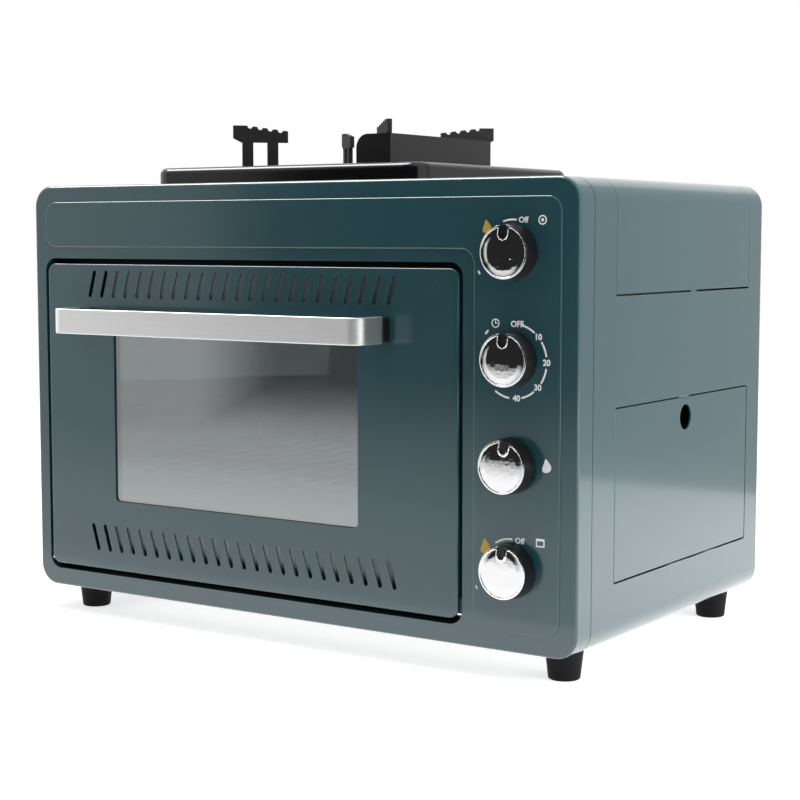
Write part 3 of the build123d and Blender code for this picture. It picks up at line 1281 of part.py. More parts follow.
def pot_support():
    """One plate of the pot support on two legs, drawn to the right of the burner's axis."""
    z0 = TRAY_FLOOR
    top = TOP + SUPPORT_TOP
    bar_z = top - SUPPORT_STEP - SUPPORT_BAR_H
    horn = SUPPORT_R1 - SUPPORT_HORN
    chamfer_l, chamfer_h = SUPPORT_CHAMFER
    corners = [
        (SUPPORT_R0, bar_z), (SUPPORT_R1 - chamfer_l, bar_z), (SUPPORT_R1, bar_z + chamfer_h),
        (SUPPORT_R1, top), (horn, top), (SUPPORT_R0, top - SUPPORT_STEP),
    ]
    face = make_face(Polyline(*corners, close=True))
    for radius in SUPPORT_LEG_R:
        face += Pos(radius, (z0 + bar_z) / 2) * Rectangle(SUPPORT_LEG_W, bar_z - z0)
    slope = SUPPORT_STEP / (horn - SUPPORT_R0)
    for number in range(SCALLOP_COUNT):
        back = SCALLOP_R + number * SCALLOP_PITCH
        face -= Pos(horn - back, top - slope * back) * Circle(SCALLOP_R)
    plate = along_y(face, -SUPPORT_T / 2, SUPPORT_T / 2)
    crests = plate.edges().filter_by(Axis.Y).filter_by_position(
        Axis.X, SUPPORT_R0 + SCALLOP_EDGE_R, horn - SCALLOP_R)
    crests = crests.filter_by_position(Axis.Z, bar_z + SUPPORT_BAR_H / 2, top)
    plate = fillet(crests, SCALLOP_EDGE_R)
    foot_r0 = SUPPORT_LEG_R[0] - SUPPORT_LEG_W / 2
    foot_r1 = SUPPORT_LEG_R[1] + SUPPORT_LEG_W / 2
    plate += block(foot_r0, foot_r1, -SUPPORT_FOOT_W / 2, SUPPORT_FOOT_W / 2, z0, z0 + SHEET)
    return plate


def pot_supports():
    """The four plates, on the diagonals."""
    axis = Pos(BURNER_X, BURNER_Y, 0)
    plate = pot_support()
    turns = PolarLocations(0, SUPPORT_COUNT, SUPPORT_TURN)
    return Compound([(axis * turn * plate).solid() for turn in turns])


def windshield():
    """Bent sheet between the burner and the gas bay: wall, front wing and foot."""
    z0 = TRAY_FLOOR
    top = TOP + SHIELD_TOP
    shield = block(SHIELD_X0, SHIELD_X1, SHIELD_Y0, SHIELD_Y1, z0, top)
    wing = block(SHIELD_X1 - SHIELD_WING, SHIELD_X1, SHIELD_Y0, SHIELD_Y0 + SHIELD_T, z0, top)
    corner = wing.edges().filter_by(Axis.Y).group_by(Axis.Z)[-1].sort_by(Axis.X)[0]
    shield += fillet(corner, SHIELD_WING_R)
    shield += block(SHIELD_X0, SHIELD_X1 + SHIELD_FOOT, SHIELD_Y0, SHIELD_Y1, z0,
                    z0 + SHIELD_T)
    for y in TRAY_SCREW_Y:
        shield -= rod_z(SCREW_R + PIN_CLEARANCE, z0, z0 + SHIELD_T, TRAY_SCREW_X, y)
    return shield


def tray_screws():
    """Two screws through the windshield's foot and the tray's floor."""
    seat = TRAY_FLOOR + SHIELD_T
    screws = []
    for y in TRAY_SCREW_Y:
        screw = rod_z(SCREW_HEAD_R, seat, seat + SCREW_HEAD_H, TRAY_SCREW_X, y)
        screw = fillet(screw.edges().group_by(Axis.Z)[-1], SCREW_HEAD_H / 2)
        screw += rod_z(SCREW_R, TRAY_FLOOR - 2 * SHEET, seat, TRAY_SCREW_X, y)
        screws.append(screw.solid())
    return Compound(screws)


# ---- all pieces -----------------------------------------------------------------------
PIECES = [
    front_fascia, chassis_front, body_wrap, back_panel, back_panel_screws, base_pan,
    feet, foot_screws,
    oven_mouth, oven_liner, side_racks, wire_shelf, burner_cover, oven_burner,
    ceramic_probes,
    door_panel, door_inner_frame, door_glass, glass_clips, door_handle, handle_posts,
    door_hinge_blocks, door_hinge_pins, catch_magnets,
    gas_bay_wall, upper_cradle, lower_cradle, regulator_bracket, oven_regulator,
    stove_regulator_valve, flame_safety_valve, oven_valve, oven_timer, valve_nuts, gas_pipes,
    canister_lid, lid_hinge_brackets, lid_hinge_pin, canister_door, canister_door_pivots,
    drip_tray, burner_bracket, burner_bowl, burner_head, burner_cap, pot_supports,
    windshield, tray_screws,
]
KNOB_PIECES = {"knob": knob_body, "knob_cap": knob_cap, "spindle": knob_spindle}

os.makedirs("parts", exist_ok=True)
TO_ORIGIN = Pos(*[-value for value in ORIGIN])
for piece in PIECES:
    export_step(TO_ORIGIN * piece(), f"parts/{piece.__name__}.step")
for knob in KNOB_Z:
    for kind, piece in KNOB_PIECES.items():
        export_step(TO_ORIGIN * piece(knob), f"parts/{knob}_{kind}.step")
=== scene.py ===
"""Looks of a portable gas oven with a stove on its top: finishes, prints, camera and light."""

import logging
import math
from collections.abc import Sequence
from dataclasses import dataclass
from enum import Enum
from functools import cache
from typing import Any, ClassVar

import bmesh
import bpy
from mathutils import Matrix, Vector


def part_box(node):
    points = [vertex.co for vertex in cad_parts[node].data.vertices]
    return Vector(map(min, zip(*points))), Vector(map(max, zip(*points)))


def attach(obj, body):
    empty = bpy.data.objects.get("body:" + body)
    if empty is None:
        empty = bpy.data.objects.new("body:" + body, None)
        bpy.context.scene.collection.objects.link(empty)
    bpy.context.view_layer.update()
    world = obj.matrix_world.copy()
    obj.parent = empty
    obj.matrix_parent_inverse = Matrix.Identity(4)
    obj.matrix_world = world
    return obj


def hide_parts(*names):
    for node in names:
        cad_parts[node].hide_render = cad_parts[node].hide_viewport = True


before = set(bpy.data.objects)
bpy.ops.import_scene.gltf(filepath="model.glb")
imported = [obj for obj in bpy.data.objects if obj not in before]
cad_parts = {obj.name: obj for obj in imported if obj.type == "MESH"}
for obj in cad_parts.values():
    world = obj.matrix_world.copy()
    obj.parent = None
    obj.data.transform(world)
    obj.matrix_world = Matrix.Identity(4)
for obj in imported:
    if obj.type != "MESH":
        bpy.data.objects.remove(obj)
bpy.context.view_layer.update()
LOG = logging.getLogger("gas_oven")
MM = 0.001
WELD = 0.001 * MM               # corners closer than this are one corner
SCREW_HEAD = 1.6 * MM           # height of a pan head
QUARTER = math.radians(90)
ROUND_STEPS = 40                # points round a printed circle
KNOBS = ("stove", "timer", "safety", "oven")
Color = tuple[float, float, float]
Vec = tuple[float, float, float]
Point = tuple[float, float]
Outline = tuple[Point, ...]
Socket = bpy.types.NodeSocket


def rgba(color: Color) -> tuple[float, float, float, float]:
    """The colour with a full alpha."""
    return (*color, 1.0)


# ---- node trees -----------------------------------------------------------------------
class Graph:
    """A node tree that is being wired."""

    def __init__(self, tree: bpy.types.NodeTree) -> None:
        """Keeps a shader or geometry tree, with the nodes it already has."""
        self.tree = tree

    def feed(self, node: bpy.types.Node, inputs: dict[Any, Any]) -> None:
        """Sets or links a node's inputs.

        Args:
            node: the node.
            inputs: a value or an output socket for each input, by name or number.
        """
        for key, value in inputs.items():
            if isinstance(value, Socket):
                self.tree.links.new(value, node.inputs[key])
            else:
                node.inputs[key].default_value = value

    def add(self, kind: str, inputs: dict[Any, Any] | None = None, **settings: Any) -> Any:
        """Adds one node.

        Args:
            kind: the node's Blender type.
            inputs: a value or an output socket for each input, by name or number.
            **settings: the node's own properties.

        Returns:
            The new node's outputs.
        """
        node = self.tree.nodes.new(kind)
        for name, value in settings.items():
            setattr(node, name, value)
        self.feed(node, inputs or {})
        return node.outputs

    def find(self, kind: str) -> bpy.types.Node:
        """The node of one type that the tree came with."""
        return next(node for node in self.tree.nodes if node.type == kind)

    def math(self, operation: str, a: Any, b: Any, clamp: bool = False) -> Socket:
        """A Math node's result.

        Args:
            operation: the Math node's operation.
            a: first value or socket.
            b: second value or socket.
            clamp: whether the result stays between 0 and 1.

        Returns:
            The result's socket.
        """
        return self.add("ShaderNodeMath", {0: a, 1: b}, operation=operation, use_clamp=clamp)[0]

    def mix(self, factor: Socket, a: Any, b: Any) -> Socket:
        """A colour between two, by a mask; 6, 7 and 2 are the node's colour sockets."""
        return self.add("ShaderNodeMix", {"Factor": factor, 6: a, 7: b}, data_type="RGBA")[2]

    def place(self) -> Socket:
        """The object's own coordinates."""
        return self.add("ShaderNodeTexCoord")["Object"]

    def noise(self, place: Socket, scale: Any, detail: float) -> Socket:
        """A noise pattern's value, around 0.5."""
        return self.add("ShaderNodeTexNoise",
                        {"Vector": place, "Scale": scale, "Detail": detail})[0]

    def swing(self, pattern: Socket, amount: Any) -> Socket:
        """A pattern's departure from its middle, times an amount."""
        return self.math("MULTIPLY", self.math("SUBTRACT", pattern, 0.5), amount)


class Effect(Enum):
    """The effects that several finishes share."""

    GRAIN = "surface_grain"
    DRIFT = "shade_drift"
    BRUSH = "brushed_lines"
    EDGE = "painted_edge_highlight_mask"


class Effects:
    """The shared shader node groups, each built once."""

    def __init__(self) -> None:
        """Starts with no group built."""
        self.built: dict[Effect, bpy.types.NodeTree] = {}

    def put(self, graph: Graph, effect: Effect, **inputs: Any) -> Any:
        """Puts an effect in a material.

        Args:
            graph: the material's tree.
            effect: which group.
            **inputs: the group's inputs, by name.

        Returns:
            The group node's outputs.
        """
        if effect not in self.built:
            self.built[effect] = getattr(self, f"make_{effect.name.lower()}")()
        return graph.add("ShaderNodeGroup", inputs, node_tree=self.built[effect])

    @staticmethod
    def start(effect: Effect, inputs: dict[str, Any],
              outputs: dict[str, str]) -> tuple[Graph, Any, bpy.types.Node]:
        """Starts a group tree with its sockets.

        Args:
            effect: names the group.
            inputs: each input's default, a number or a colour.
            outputs: each output's kind of socket.

        Returns:
            The graph, the group's given values and its output node.
        """
        tree = bpy.data.node_groups.new(effect.value, "ShaderNodeTree")
        for name, value in inputs.items():
            plain = isinstance(value, float)
            kind = "NodeSocketFloat" if plain else "NodeSocketColor"
            socket = tree.interface.new_socket(name=name, in_out="INPUT", socket_type=kind)
            socket.default_value = value if plain else rgba(value)
        for name, kind in outputs.items():
            tree.interface.new_socket(name=name, in_out="OUTPUT", socket_type=f"NodeSocket{kind}")
        graph = Graph(tree)
        return graph, graph.add("NodeGroupInput"), tree.nodes.new("NodeGroupOutput")

    @staticmethod
    def texture(graph: Graph, given: Any, height: Socket, pattern: Socket) -> dict[str, Socket]:
        """A bump and a varying roughness from a group's Depth, Roughness and Spread.

        Args:
            graph: the group's graph.
            given: the group's given values.
            height: the pattern that stands up.
            pattern: the pattern that changes the roughness.

        Returns:
            The group's Normal and Roughness.
        """
        depth = graph.math("MULTIPLY", given["Depth"], MM)
        swing = graph.swing(pattern, given["Spread"])
        return {"Normal": graph.add("ShaderNodeBump", {"Height": height, "Distance": depth})[0],
                "Roughness": graph.math("ADD", given["Roughness"], swing, clamp=True)}

    def make_grain(self) -> bpy.types.NodeTree:
        """Fine bumps and a varying roughness: orange peel, moulded texture, casting skin.

        Returns:
            The group's tree.
        """
        graph, given, out = self.start(
            Effect.GRAIN, {"Scale": 900.0, "Depth": 0.05, "Roughness": 0.4, "Spread": 0.1},
            {"Normal": "Vector", "Roughness": "Float"})
        place = graph.place()
        fine = graph.noise(place, given["Scale"], detail=3.0)
        broad = graph.noise(place, scale=34.0, detail=4.0)      # patches of 30 mm or so
        graph.feed(out, self.texture(graph, given, fine, broad))
        return graph.tree

    def make_drift(self) -> bpy.types.NodeTree:
        """A colour whose lightness drifts slowly over the surface.

        Returns:
            The group's tree.
        """
        graph, given, out = self.start(
            Effect.DRIFT, {"Color": (0.5, 0.5, 0.5), "Scale": 9.0, "Amount": 0.05},
            {"Color": "Color"})
        cloud = graph.noise(graph.place(), given["Scale"], detail=5.0)
        swing = graph.swing(cloud, given["Amount"])
        value = graph.math("ADD", graph.math("MULTIPLY", swing, 2.0), 1.0)
        tone = graph.add("ShaderNodeHueSaturation", {"Color": given["Color"], "Value": value})
        graph.feed(out, {"Color": tone[0]})
        return graph.tree

    def make_brush(self) -> bpy.types.NodeTree:
        """Level lines round a piece, as a brush or a rolling mill leaves them.

        Returns:
            The group's tree.
        """
        graph, given, out = self.start(
            Effect.BRUSH, {"Scale": 1500.0, "Depth": 0.01, "Roughness": 0.3, "Spread": 0.2},
            {"Normal": "Vector", "Roughness": "Float", "Mask": "Float"})
        along = (0.012, 0.012, 1.0)     # the pattern is drawn out level
        drawn = graph.add("ShaderNodeMapping", {"Vector": graph.place(), "Scale": along})[0]
        lines = graph.noise(drawn, given["Scale"], detail=4.0)
        graph.feed(out, {**self.texture(graph, given, lines, lines), "Mask": lines})
        return graph.tree

    def make_edge(self) -> bpy.types.NodeTree:
        """A mask along sharp edges, where a painted highlight lightens the colour.

        Returns:
            The group's tree.
        """
        graph, given, out = self.start(
            Effect.EDGE, {"Radius": 0.4, "Gain": 2.0}, {"Mask": "Float"})
        radius = graph.math("MULTIPLY", given["Radius"], MM)
        bevel = graph.add("ShaderNodeBevel", {"Radius": radius}, samples=4)[0]
        flat = graph.add("ShaderNodeNewGeometry")["Normal"]
        dot = graph.add("ShaderNodeVectorMath", {0: bevel, 1: flat}, operation="DOT_PRODUCT")
        turn = graph.math("SUBTRACT", 1.0, dot["Value"])
        graph.feed(out, {"Mask": graph.math("MULTIPLY", turn, given["Gain"], clamp=True)})
        return graph.tree


EFFECTS = Effects()


def new_material(name: str) -> tuple[bpy.types.Material, Graph, bpy.types.Node]:
    """A material with a bare Principled shader.

    Args:
        name: the material's name.

    Returns:
        The material, its graph and its shader node.
    """
    material = bpy.data.materials.new(name)
    material.use_nodes = True
    graph = Graph(material.node_tree)
    return material, graph, graph.find("BSDF_PRINCIPLED")


# ---- finishes -------------------------------------------------------------------------
@dataclass(frozen=True)
class GrainedFinish:
    """Any surface with a fine even grain: paint, enamel, moulding, rubber, casting; a painted
    highlight may lighten its sharp edges.
    """

    color: Color
    roughness: float
    metallic: float = 0.0
    coat: float = 0.0
    coat_roughness: float = 0.1
    specular: float = 0.5
    grain_scale: float = 900.0
    grain_depth: float = 0.02
    spread: float = 0.08
    drift: float = 0.05
    edge_radius: float = 0.35
    # painted highlight: a lighter colour along sharp edges, standing in for light caught there
    painted_edge_highlight: Color | None = None

    def material(self, name: str) -> bpy.types.Material:
        """Builds the material.

        Args:
            name: the material's name.

        Returns:
            A Principled material whose colour, roughness and normal vary over the surface.
        """
        material, graph, shader = new_material(name)
        tone = EFFECTS.put(graph, Effect.DRIFT, Color=rgba(self.color), Amount=self.drift)
        grain = EFFECTS.put(graph, Effect.GRAIN, Scale=self.grain_scale, Depth=self.grain_depth,
                            Roughness=self.roughness, Spread=self.spread)
        color = tone["Color"]
        # painted highlight: the edge mask mixes a lighter colour into the paint along sharp edges
        if self.painted_edge_highlight:
            edge = EFFECTS.put(graph, Effect.EDGE, Radius=self.edge_radius)
            color = graph.mix(edge["Mask"], color, rgba(self.painted_edge_highlight))
        graph.feed(shader, {
            "Metallic": self.metallic, "Coat Weight": self.coat,
            "Coat Roughness": self.coat_roughness, "Specular IOR Level": self.specular,
            "Base Color": color, "Normal": grain["Normal"], "Roughness": grain["Roughness"]})
        return material


@dataclass(frozen=True)
class BrushedFinish:
    """Bare metal with level lines."""

    color: Color
    roughness: float = 0.3
    spread: float = 0.25
    line_scale: float = 1500.0
    line_depth: float = 0.004
    contrast: float = 0.12

    def material(self, name: str) -> bpy.types.Material:
        """Builds the material.

        Args:
            name: the material's name.

        Returns:
            A metallic Principled material with drawn lines in colour, roughness and normal.
        """
        material, graph, shader = new_material(name)
        brush = EFFECTS.put(graph, Effect.BRUSH, Scale=self.line_scale, Depth=self.line_depth,
                            Roughness=self.roughness, Spread=self.spread)
        dark = tuple(channel * (1 - self.contrast) for channel in self.color)
        graph.feed(shader, {
            "Metallic": 1.0, "Base Color": graph.mix(brush["Mask"], rgba(dark), rgba(self.color)),
            "Normal": brush["Normal"], "Roughness": brush["Roughness"]})
        return material


@dataclass(frozen=True)
class GlassFinish:
    """Toughened oven glass with a thin mirror coat that lets some light through."""

    color: Color = (0.50, 0.53, 0.54)
    shade: Color = (0.12, 0.13, 0.13)
    mirror: float = 0.55
    ior: float = 1.5
    roughness: float = 0.012
    spread: float = 0.02
    wave_scale: float = 5.0
    wave_depth: float = 0.25

    def material(self, name: str) -> bpy.types.Material:
        """Builds the material.

        Args:
            name: the material's name.

        Returns:
            A transmissive Principled material that casts a light shadow.
        """
        material, graph, shader = new_material(name)
        wave = EFFECTS.put(graph, Effect.GRAIN, Scale=self.wave_scale, Depth=self.wave_depth,
                           Roughness=self.roughness, Spread=self.spread)
        graph.feed(shader, {
            "Transmission Weight": 1.0, "Metallic": self.mirror, "IOR": self.ior,
            "Base Color": rgba(self.color), "Roughness": wave["Roughness"],
            "Normal": wave["Normal"]})
        clear = graph.add("ShaderNodeBsdfTransparent", {"Color": rgba(self.shade)})
        shadow = graph.add("ShaderNodeLightPath")["Is Shadow Ray"]
        surface = graph.add("ShaderNodeMixShader",
                            {0: shadow, 1: shader.outputs[0], 2: clear[0]})
        graph.feed(graph.find("OUTPUT_MATERIAL"), {"Surface": surface[0]})
        return material


class Finish(Enum):
    """Every finish of the oven, by its material's name."""

    CASING_PAINT = "casing_paint"
    SEAM_PAINT = "seam_paint"
    TRAY_ENAMEL = "tray_enamel"
    SUPPORT_ENAMEL = "support_enamel"
    SHIELD_ENAMEL = "shield_enamel"
    BLACK_MOULDING = "black_moulding"
    FOOT_RUBBER = "foot_rubber"
    CHROME = "chrome"
    PLATED_WIRE = "plated_wire"
    CAST_ALLOY = "cast_alloy"
    BRASS = "brass"
    ZINC = "zinc"
    CERAMIC = "ceramic"
    GLASS_TAPE = "glass_tape"
    WHITE_INK = "white_ink"
    YELLOW_INK = "yellow_ink"
    HANDLE_STEEL = "handle_steel"
    LINING_STEEL = "lining_steel"
    WINDOW_GLASS = "window_glass"

    @cache
    def material(self) -> bpy.types.Material:
        """The finish's material, built at the first call."""
        return RECIPES[self].material(self.value)


RECIPES = {
    Finish.CASING_PAINT: GrainedFinish(
        (0.014, 0.060, 0.073), 0.26, coat=1.0, coat_roughness=0.09, grain_scale=620.0,
        grain_depth=0.003, spread=0.05, drift=0.03, edge_radius=0.5,
        # a painted highlight along the casing's sharp edges
        painted_edge_highlight=(0.16, 0.26, 0.28)),
    # matt black chassis plate; its near-black also stands in for painted shade in the door's gaps
    Finish.SEAM_PAINT: GrainedFinish(
        (0.006, 0.008, 0.008), 0.55, specular=0.3, grain_scale=620.0, grain_depth=0.01),
    Finish.TRAY_ENAMEL: GrainedFinish(
        (0.005, 0.005, 0.006), 0.14, coat=0.25, coat_roughness=0.05, specular=0.4,
        grain_scale=240.0, grain_depth=0.015),
    Finish.SUPPORT_ENAMEL: GrainedFinish(
        (0.012, 0.012, 0.013), 0.38, coat=0.15, coat_roughness=0.2, specular=0.4,
        grain_scale=700.0, grain_depth=0.04, drift=0.15),
    Finish.SHIELD_ENAMEL: GrainedFinish(
        (0.007, 0.007, 0.008), 0.30, coat=0.2, coat_roughness=0.2, specular=0.35,
        grain_scale=700.0, grain_depth=0.02, drift=0.08),
    Finish.BLACK_MOULDING: GrainedFinish(
        (0.006, 0.006, 0.007), 0.34, specular=0.4, grain_scale=1500.0, grain_depth=0.02),
    Finish.FOOT_RUBBER: GrainedFinish(
        (0.005, 0.005, 0.006), 0.62, specular=0.2, grain_scale=800.0, grain_depth=0.04,
        drift=0.2),
    Finish.CHROME: GrainedFinish(
        (0.86, 0.86, 0.87), 0.035, metallic=1.0, grain_scale=300.0, grain_depth=0.00015,
        spread=0.02, drift=0.01),
    Finish.PLATED_WIRE: GrainedFinish(
        (0.74, 0.74, 0.75), 0.16, metallic=1.0, grain_depth=0.003, spread=0.1),
    Finish.CAST_ALLOY: GrainedFinish(
        (0.52, 0.52, 0.53), 0.46, metallic=1.0, grain_depth=0.03, spread=0.2),
    Finish.BRASS: GrainedFinish(
        (0.66, 0.48, 0.20), 0.30, metallic=1.0, grain_scale=700.0, grain_depth=0.006,
        spread=0.2),
    Finish.ZINC: GrainedFinish(
        (0.60, 0.61, 0.62), 0.28, metallic=1.0, grain_scale=500.0, grain_depth=0.006,
        spread=0.2),
    Finish.CERAMIC: GrainedFinish(
        (0.84, 0.82, 0.77), 0.18, coat=0.5, grain_scale=300.0, grain_depth=0.01),
    Finish.GLASS_TAPE: GrainedFinish(
        (0.008, 0.009, 0.009), 0.75, specular=0.2, grain_scale=1200.0, grain_depth=0.06,
        drift=0.3),
    Finish.WHITE_INK: GrainedFinish(
        (0.80, 0.82, 0.82), 0.45, grain_scale=1500.0, grain_depth=0.004),
    Finish.YELLOW_INK: GrainedFinish(
        (0.46, 0.34, 0.03), 0.45, grain_scale=1500.0, grain_depth=0.004),
    Finish.HANDLE_STEEL: BrushedFinish(
        (0.93, 0.94, 0.93), roughness=0.44, spread=0.2, line_depth=0.06),
    Finish.LINING_STEEL: BrushedFinish(
        (0.56, 0.57, 0.57), roughness=0.34, line_scale=700.0, contrast=0.2),
    Finish.WINDOW_GLASS: GlassFinish(),
}


# ---- meshes ---------------------------------------------------------------------------
def stand(name: str, data: Any) -> bpy.types.Object:
    """A new object in the scene.

    Args:
        name: its name.
        data: its mesh, curve, lamp or camera.

    Returns:
        The object, at the origin.
    """
    made = bpy.data.objects.new(name, data)
    bpy.context.scene.collection.objects.link(made)
    return made


def evaluated(maker: bpy.types.Object) -> bpy.types.Mesh:
    """A plain mesh of an object, as its modifiers or its curve make it."""
    depsgraph = bpy.context.evaluated_depsgraph_get()
    return bpy.data.meshes.new_from_object(maker.evaluated_get(depsgraph))


def finished(name: str, mesh: bpy.types.Mesh) -> bpy.types.Object:
    """Joins a mesh's doubled corners and turns its faces outwards.

    Args:
        name: the piece's name.
        mesh: its mesh.

    Returns:
        The piece, at the origin.
    """
    form = bmesh.new()
    form.from_mesh(mesh)
    bmesh.ops.remove_doubles(form, verts=form.verts, dist=WELD)
    bmesh.ops.recalc_face_normals(form, faces=form.faces)
    form.to_mesh(mesh)
    form.free()
    mesh.name = name
    return stand(name, mesh)


def node_form(node: str) -> bmesh.types.BMesh:
    """A construction node's mesh with its loose triangles joined.

    Args:
        node: the node's name.

    Returns:
        The mesh, to be changed and freed.
    """
    form = bmesh.new()
    form.from_mesh(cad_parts[node].data)
    bmesh.ops.remove_doubles(form, verts=form.verts, dist=WELD)
    return form


def solid_boxes(node: str) -> list[tuple[Vector, Vector]]:
    """The boxes of a construction node's separate solids.

    Args:
        node: the node's name.

    Returns:
        The lowest and highest corner of each solid, sorted by place.
    """
    form = node_form(node)
    left = set(form.verts)
    boxes = []
    while left:
        edge = [left.pop()]
        reached = list(edge)
        while edge:
            near = {end for vert in edge for link in vert.link_edges for end in link.verts}
            edge = list(near & left)
            left -= near
            reached += edge
        low, high = (Vector([pick(vert.co[axis] for vert in reached) for axis in range(3)])
                     for pick in (min, max))
        boxes.append((low, high))
    form.free()
    return sorted(boxes, key=lambda box: tuple(box[0]))


# ---- geometry trees -------------------------------------------------------------------
class Tree(Graph):
    """A Geometry Nodes tree with named inputs."""

    def __init__(self, name: str, inputs: dict[str, Any]) -> None:
        """Starts the tree.

        Args:
            name: the tree's name.
            inputs: each input's default: a number, a whole number, three numbers or a material.
        """
        super().__init__(bpy.data.node_groups.new(name, "GeometryNodeTree"))
        sockets = self.tree.interface
        sockets.new_socket(name="Geometry", in_out="INPUT", socket_type="NodeSocketGeometry")
        self.keys: dict[str, str] = {}
        for label, value in {**inputs, "Material": None}.items():
            kind = {float: "Float", int: "Int", tuple: "Vector"}.get(type(value), "Material")
            socket = sockets.new_socket(name=label, in_out="INPUT",
                                        socket_type=f"NodeSocket{kind}")
            self.keys[label] = socket.identifier
            if value is not None:
                socket.default_value = value
        sockets.new_socket(name="Geometry", in_out="OUTPUT", socket_type="NodeSocketGeometry")
        self.given = self.add("NodeGroupInput")

    def vector(self, x: Any = 0.0, y: Any = 0.0, z: Any = 0.0) -> Socket:
        """Three values or sockets as one."""
        return self.add("ShaderNodeCombineXYZ", {"X": x, "Y": y, "Z": z})[0]

    def moved(self, geometry: Socket, way: Socket, turn: Vec = (0.0, 0.0, 0.0)) -> Socket:
        """Geometry that is turned, then moved."""
        return self.add("GeometryNodeTransform",
                        {"Geometry": geometry, "Translation": way, "Rotation": turn})[0]

    def rectangle(self, width: Socket, height: Socket) -> Socket:
        """A rectangle's curve about the origin."""
        return self.add("GeometryNodeCurvePrimitiveQuadrilateral",
                        {"Width": width, "Height": height}, mode="RECTANGLE")[0]

    def band(self, path: Socket, width: Socket, thickness: Socket) -> Socket:
        """A flat band along a level path.

        Args:
            path: the path's curve.
            width: the band's width, in the path's plane.
            thickness: the band's thickness, across that plane.

        Returns:
            The band's mesh.
        """
        level = self.add("GeometryNodeSetCurveNormal", {"Curve": path}, mode="Z_UP")[0]
        section = self.rectangle(width, thickness)
        return self.add("GeometryNodeCurveToMesh",
                        {"Curve": level, "Profile Curve": section, "Fill Caps": True})[0]

    def copies(self, points: Socket, shape: Socket, angles: Socket) -> Socket:
        """A copy of a shape at each point.

        Args:
            points: where they go.
            shape: what is copied.
            angles: how each is turned about X, Y and Z.

        Returns:
            The copies.
        """
        turn = self.add("FunctionNodeEulerToRotation", {0: angles})[0]
        return self.add("GeometryNodeInstanceOnPoints",
                        {"Points": points, "Instance": shape, "Rotation": turn})[0]

    def close(self, geometry: Socket) -> "Tree":
        """Ends the tree: real geometry with its material.

        Args:
            geometry: what the tree has made.

        Returns:
            The tree itself.
        """
        real = self.add("GeometryNodeRealizeInstances", {0: geometry})[0]
        painted = self.add("GeometryNodeSetMaterial",
                           {"Geometry": real, "Material": self.given["Material"]})[0]
        self.add("NodeGroupOutput", {0: painted})
        return self

    def bake(self, name: str, points: Sequence[Vector], finish: Finish,
             values: dict[str, Any]) -> bpy.types.Object:
        """Runs the tree over some points and keeps the result as a plain mesh.

        Args:
            name: the piece's name.
            points: the points that the tree starts from.
            finish: the piece's finish.
            values: the inputs that differ from their defaults, by name.

        Returns:
            The finished piece at the origin.
        """
        seed = bpy.data.meshes.new(name + "_points")
        seed.from_pydata([tuple(point) for point in points], [], [])
        maker = stand(name + "_maker", seed)
        modifier = maker.modifiers.new("shape", "NODES")
        modifier.node_group = self.tree
        for label, value in {**values, "Material": finish.material()}.items():
            modifier[self.keys[label]] = value
        mesh = evaluated(maker)
        maker.modifiers.remove(modifier)
        bpy.data.objects.remove(maker)
        return finished(name, mesh)


@cache
def screw_tree() -> Tree:
    """Pan-head screws with a cross recess, one at each point, heads towards local +Z.

    Returns:
        The closed tree.
    """
    tree = Tree("cross_recess_screws", {
        "Head Radius": 3.4 * MM, "Head Height": SCREW_HEAD, "Shank Radius": 1.6 * MM,
        "Shank Length": 3.6 * MM, "Recess Length": 3.6 * MM, "Recess Width": 0.8 * MM,
        "Recess Depth": 1.0 * MM, "Turn": (0.0, 0.0, 0.0)})
    given = tree.given
    ball = tree.add("GeometryNodeMeshUVSphere", {"Segments": 24, "Rings": 10, "Radius": 1.0})[0]
    size = tree.vector(given["Head Radius"], given["Head Radius"], given["Head Height"])
    place = tree.add("GeometryNodeInputPosition")[0]
    dome = tree.add("ShaderNodeVectorMath", {0: place, 1: size}, operation="MULTIPLY")[0]
    # the lower half is pressed flat, and nothing reaches a metre to the side
    seated = tree.add("ShaderNodeVectorMath", {0: dome, 1: (-1.0, -1.0, 0.0)},
                      operation="MAXIMUM")[0]
    head = tree.add("GeometryNodeSetPosition", {"Geometry": ball, "Position": seated})[0]
    top = tree.vector(z=given["Head Height"])
    depth = tree.math("MULTIPLY", given["Recess Depth"], 2.0)
    length, width = given["Recess Length"], given["Recess Width"]
    for x, y in ((length, width), (width, length)):
        arm = tree.add("GeometryNodeMeshCube", {"Size": tree.vector(x, y, depth)})[0]
        head = tree.add("GeometryNodeMeshBoolean", {"Mesh 1": head, "Mesh 2": tree.moved(arm, top)},
                        operation="DIFFERENCE", solver="EXACT")[0]
    shank = tree.add("GeometryNodeMeshCylinder", {
        "Vertices": 16, "Radius": given["Shank Radius"], "Depth": given["Shank Length"]})[0]
    middle = tree.vector(z=tree.math("MULTIPLY", given["Shank Length"], -0.5))
    whole = tree.tree.nodes.new("GeometryNodeJoinGeometry")
    for part in (head, tree.moved(shank, middle)):
        tree.tree.links.new(part, whole.inputs[0])
    spots = tree.add("GeometryNodeMeshToPoints", {"Mesh": given["Geometry"]})[0]
    return tree.close(tree.copies(spots, whole.outputs[0], given["Turn"]))


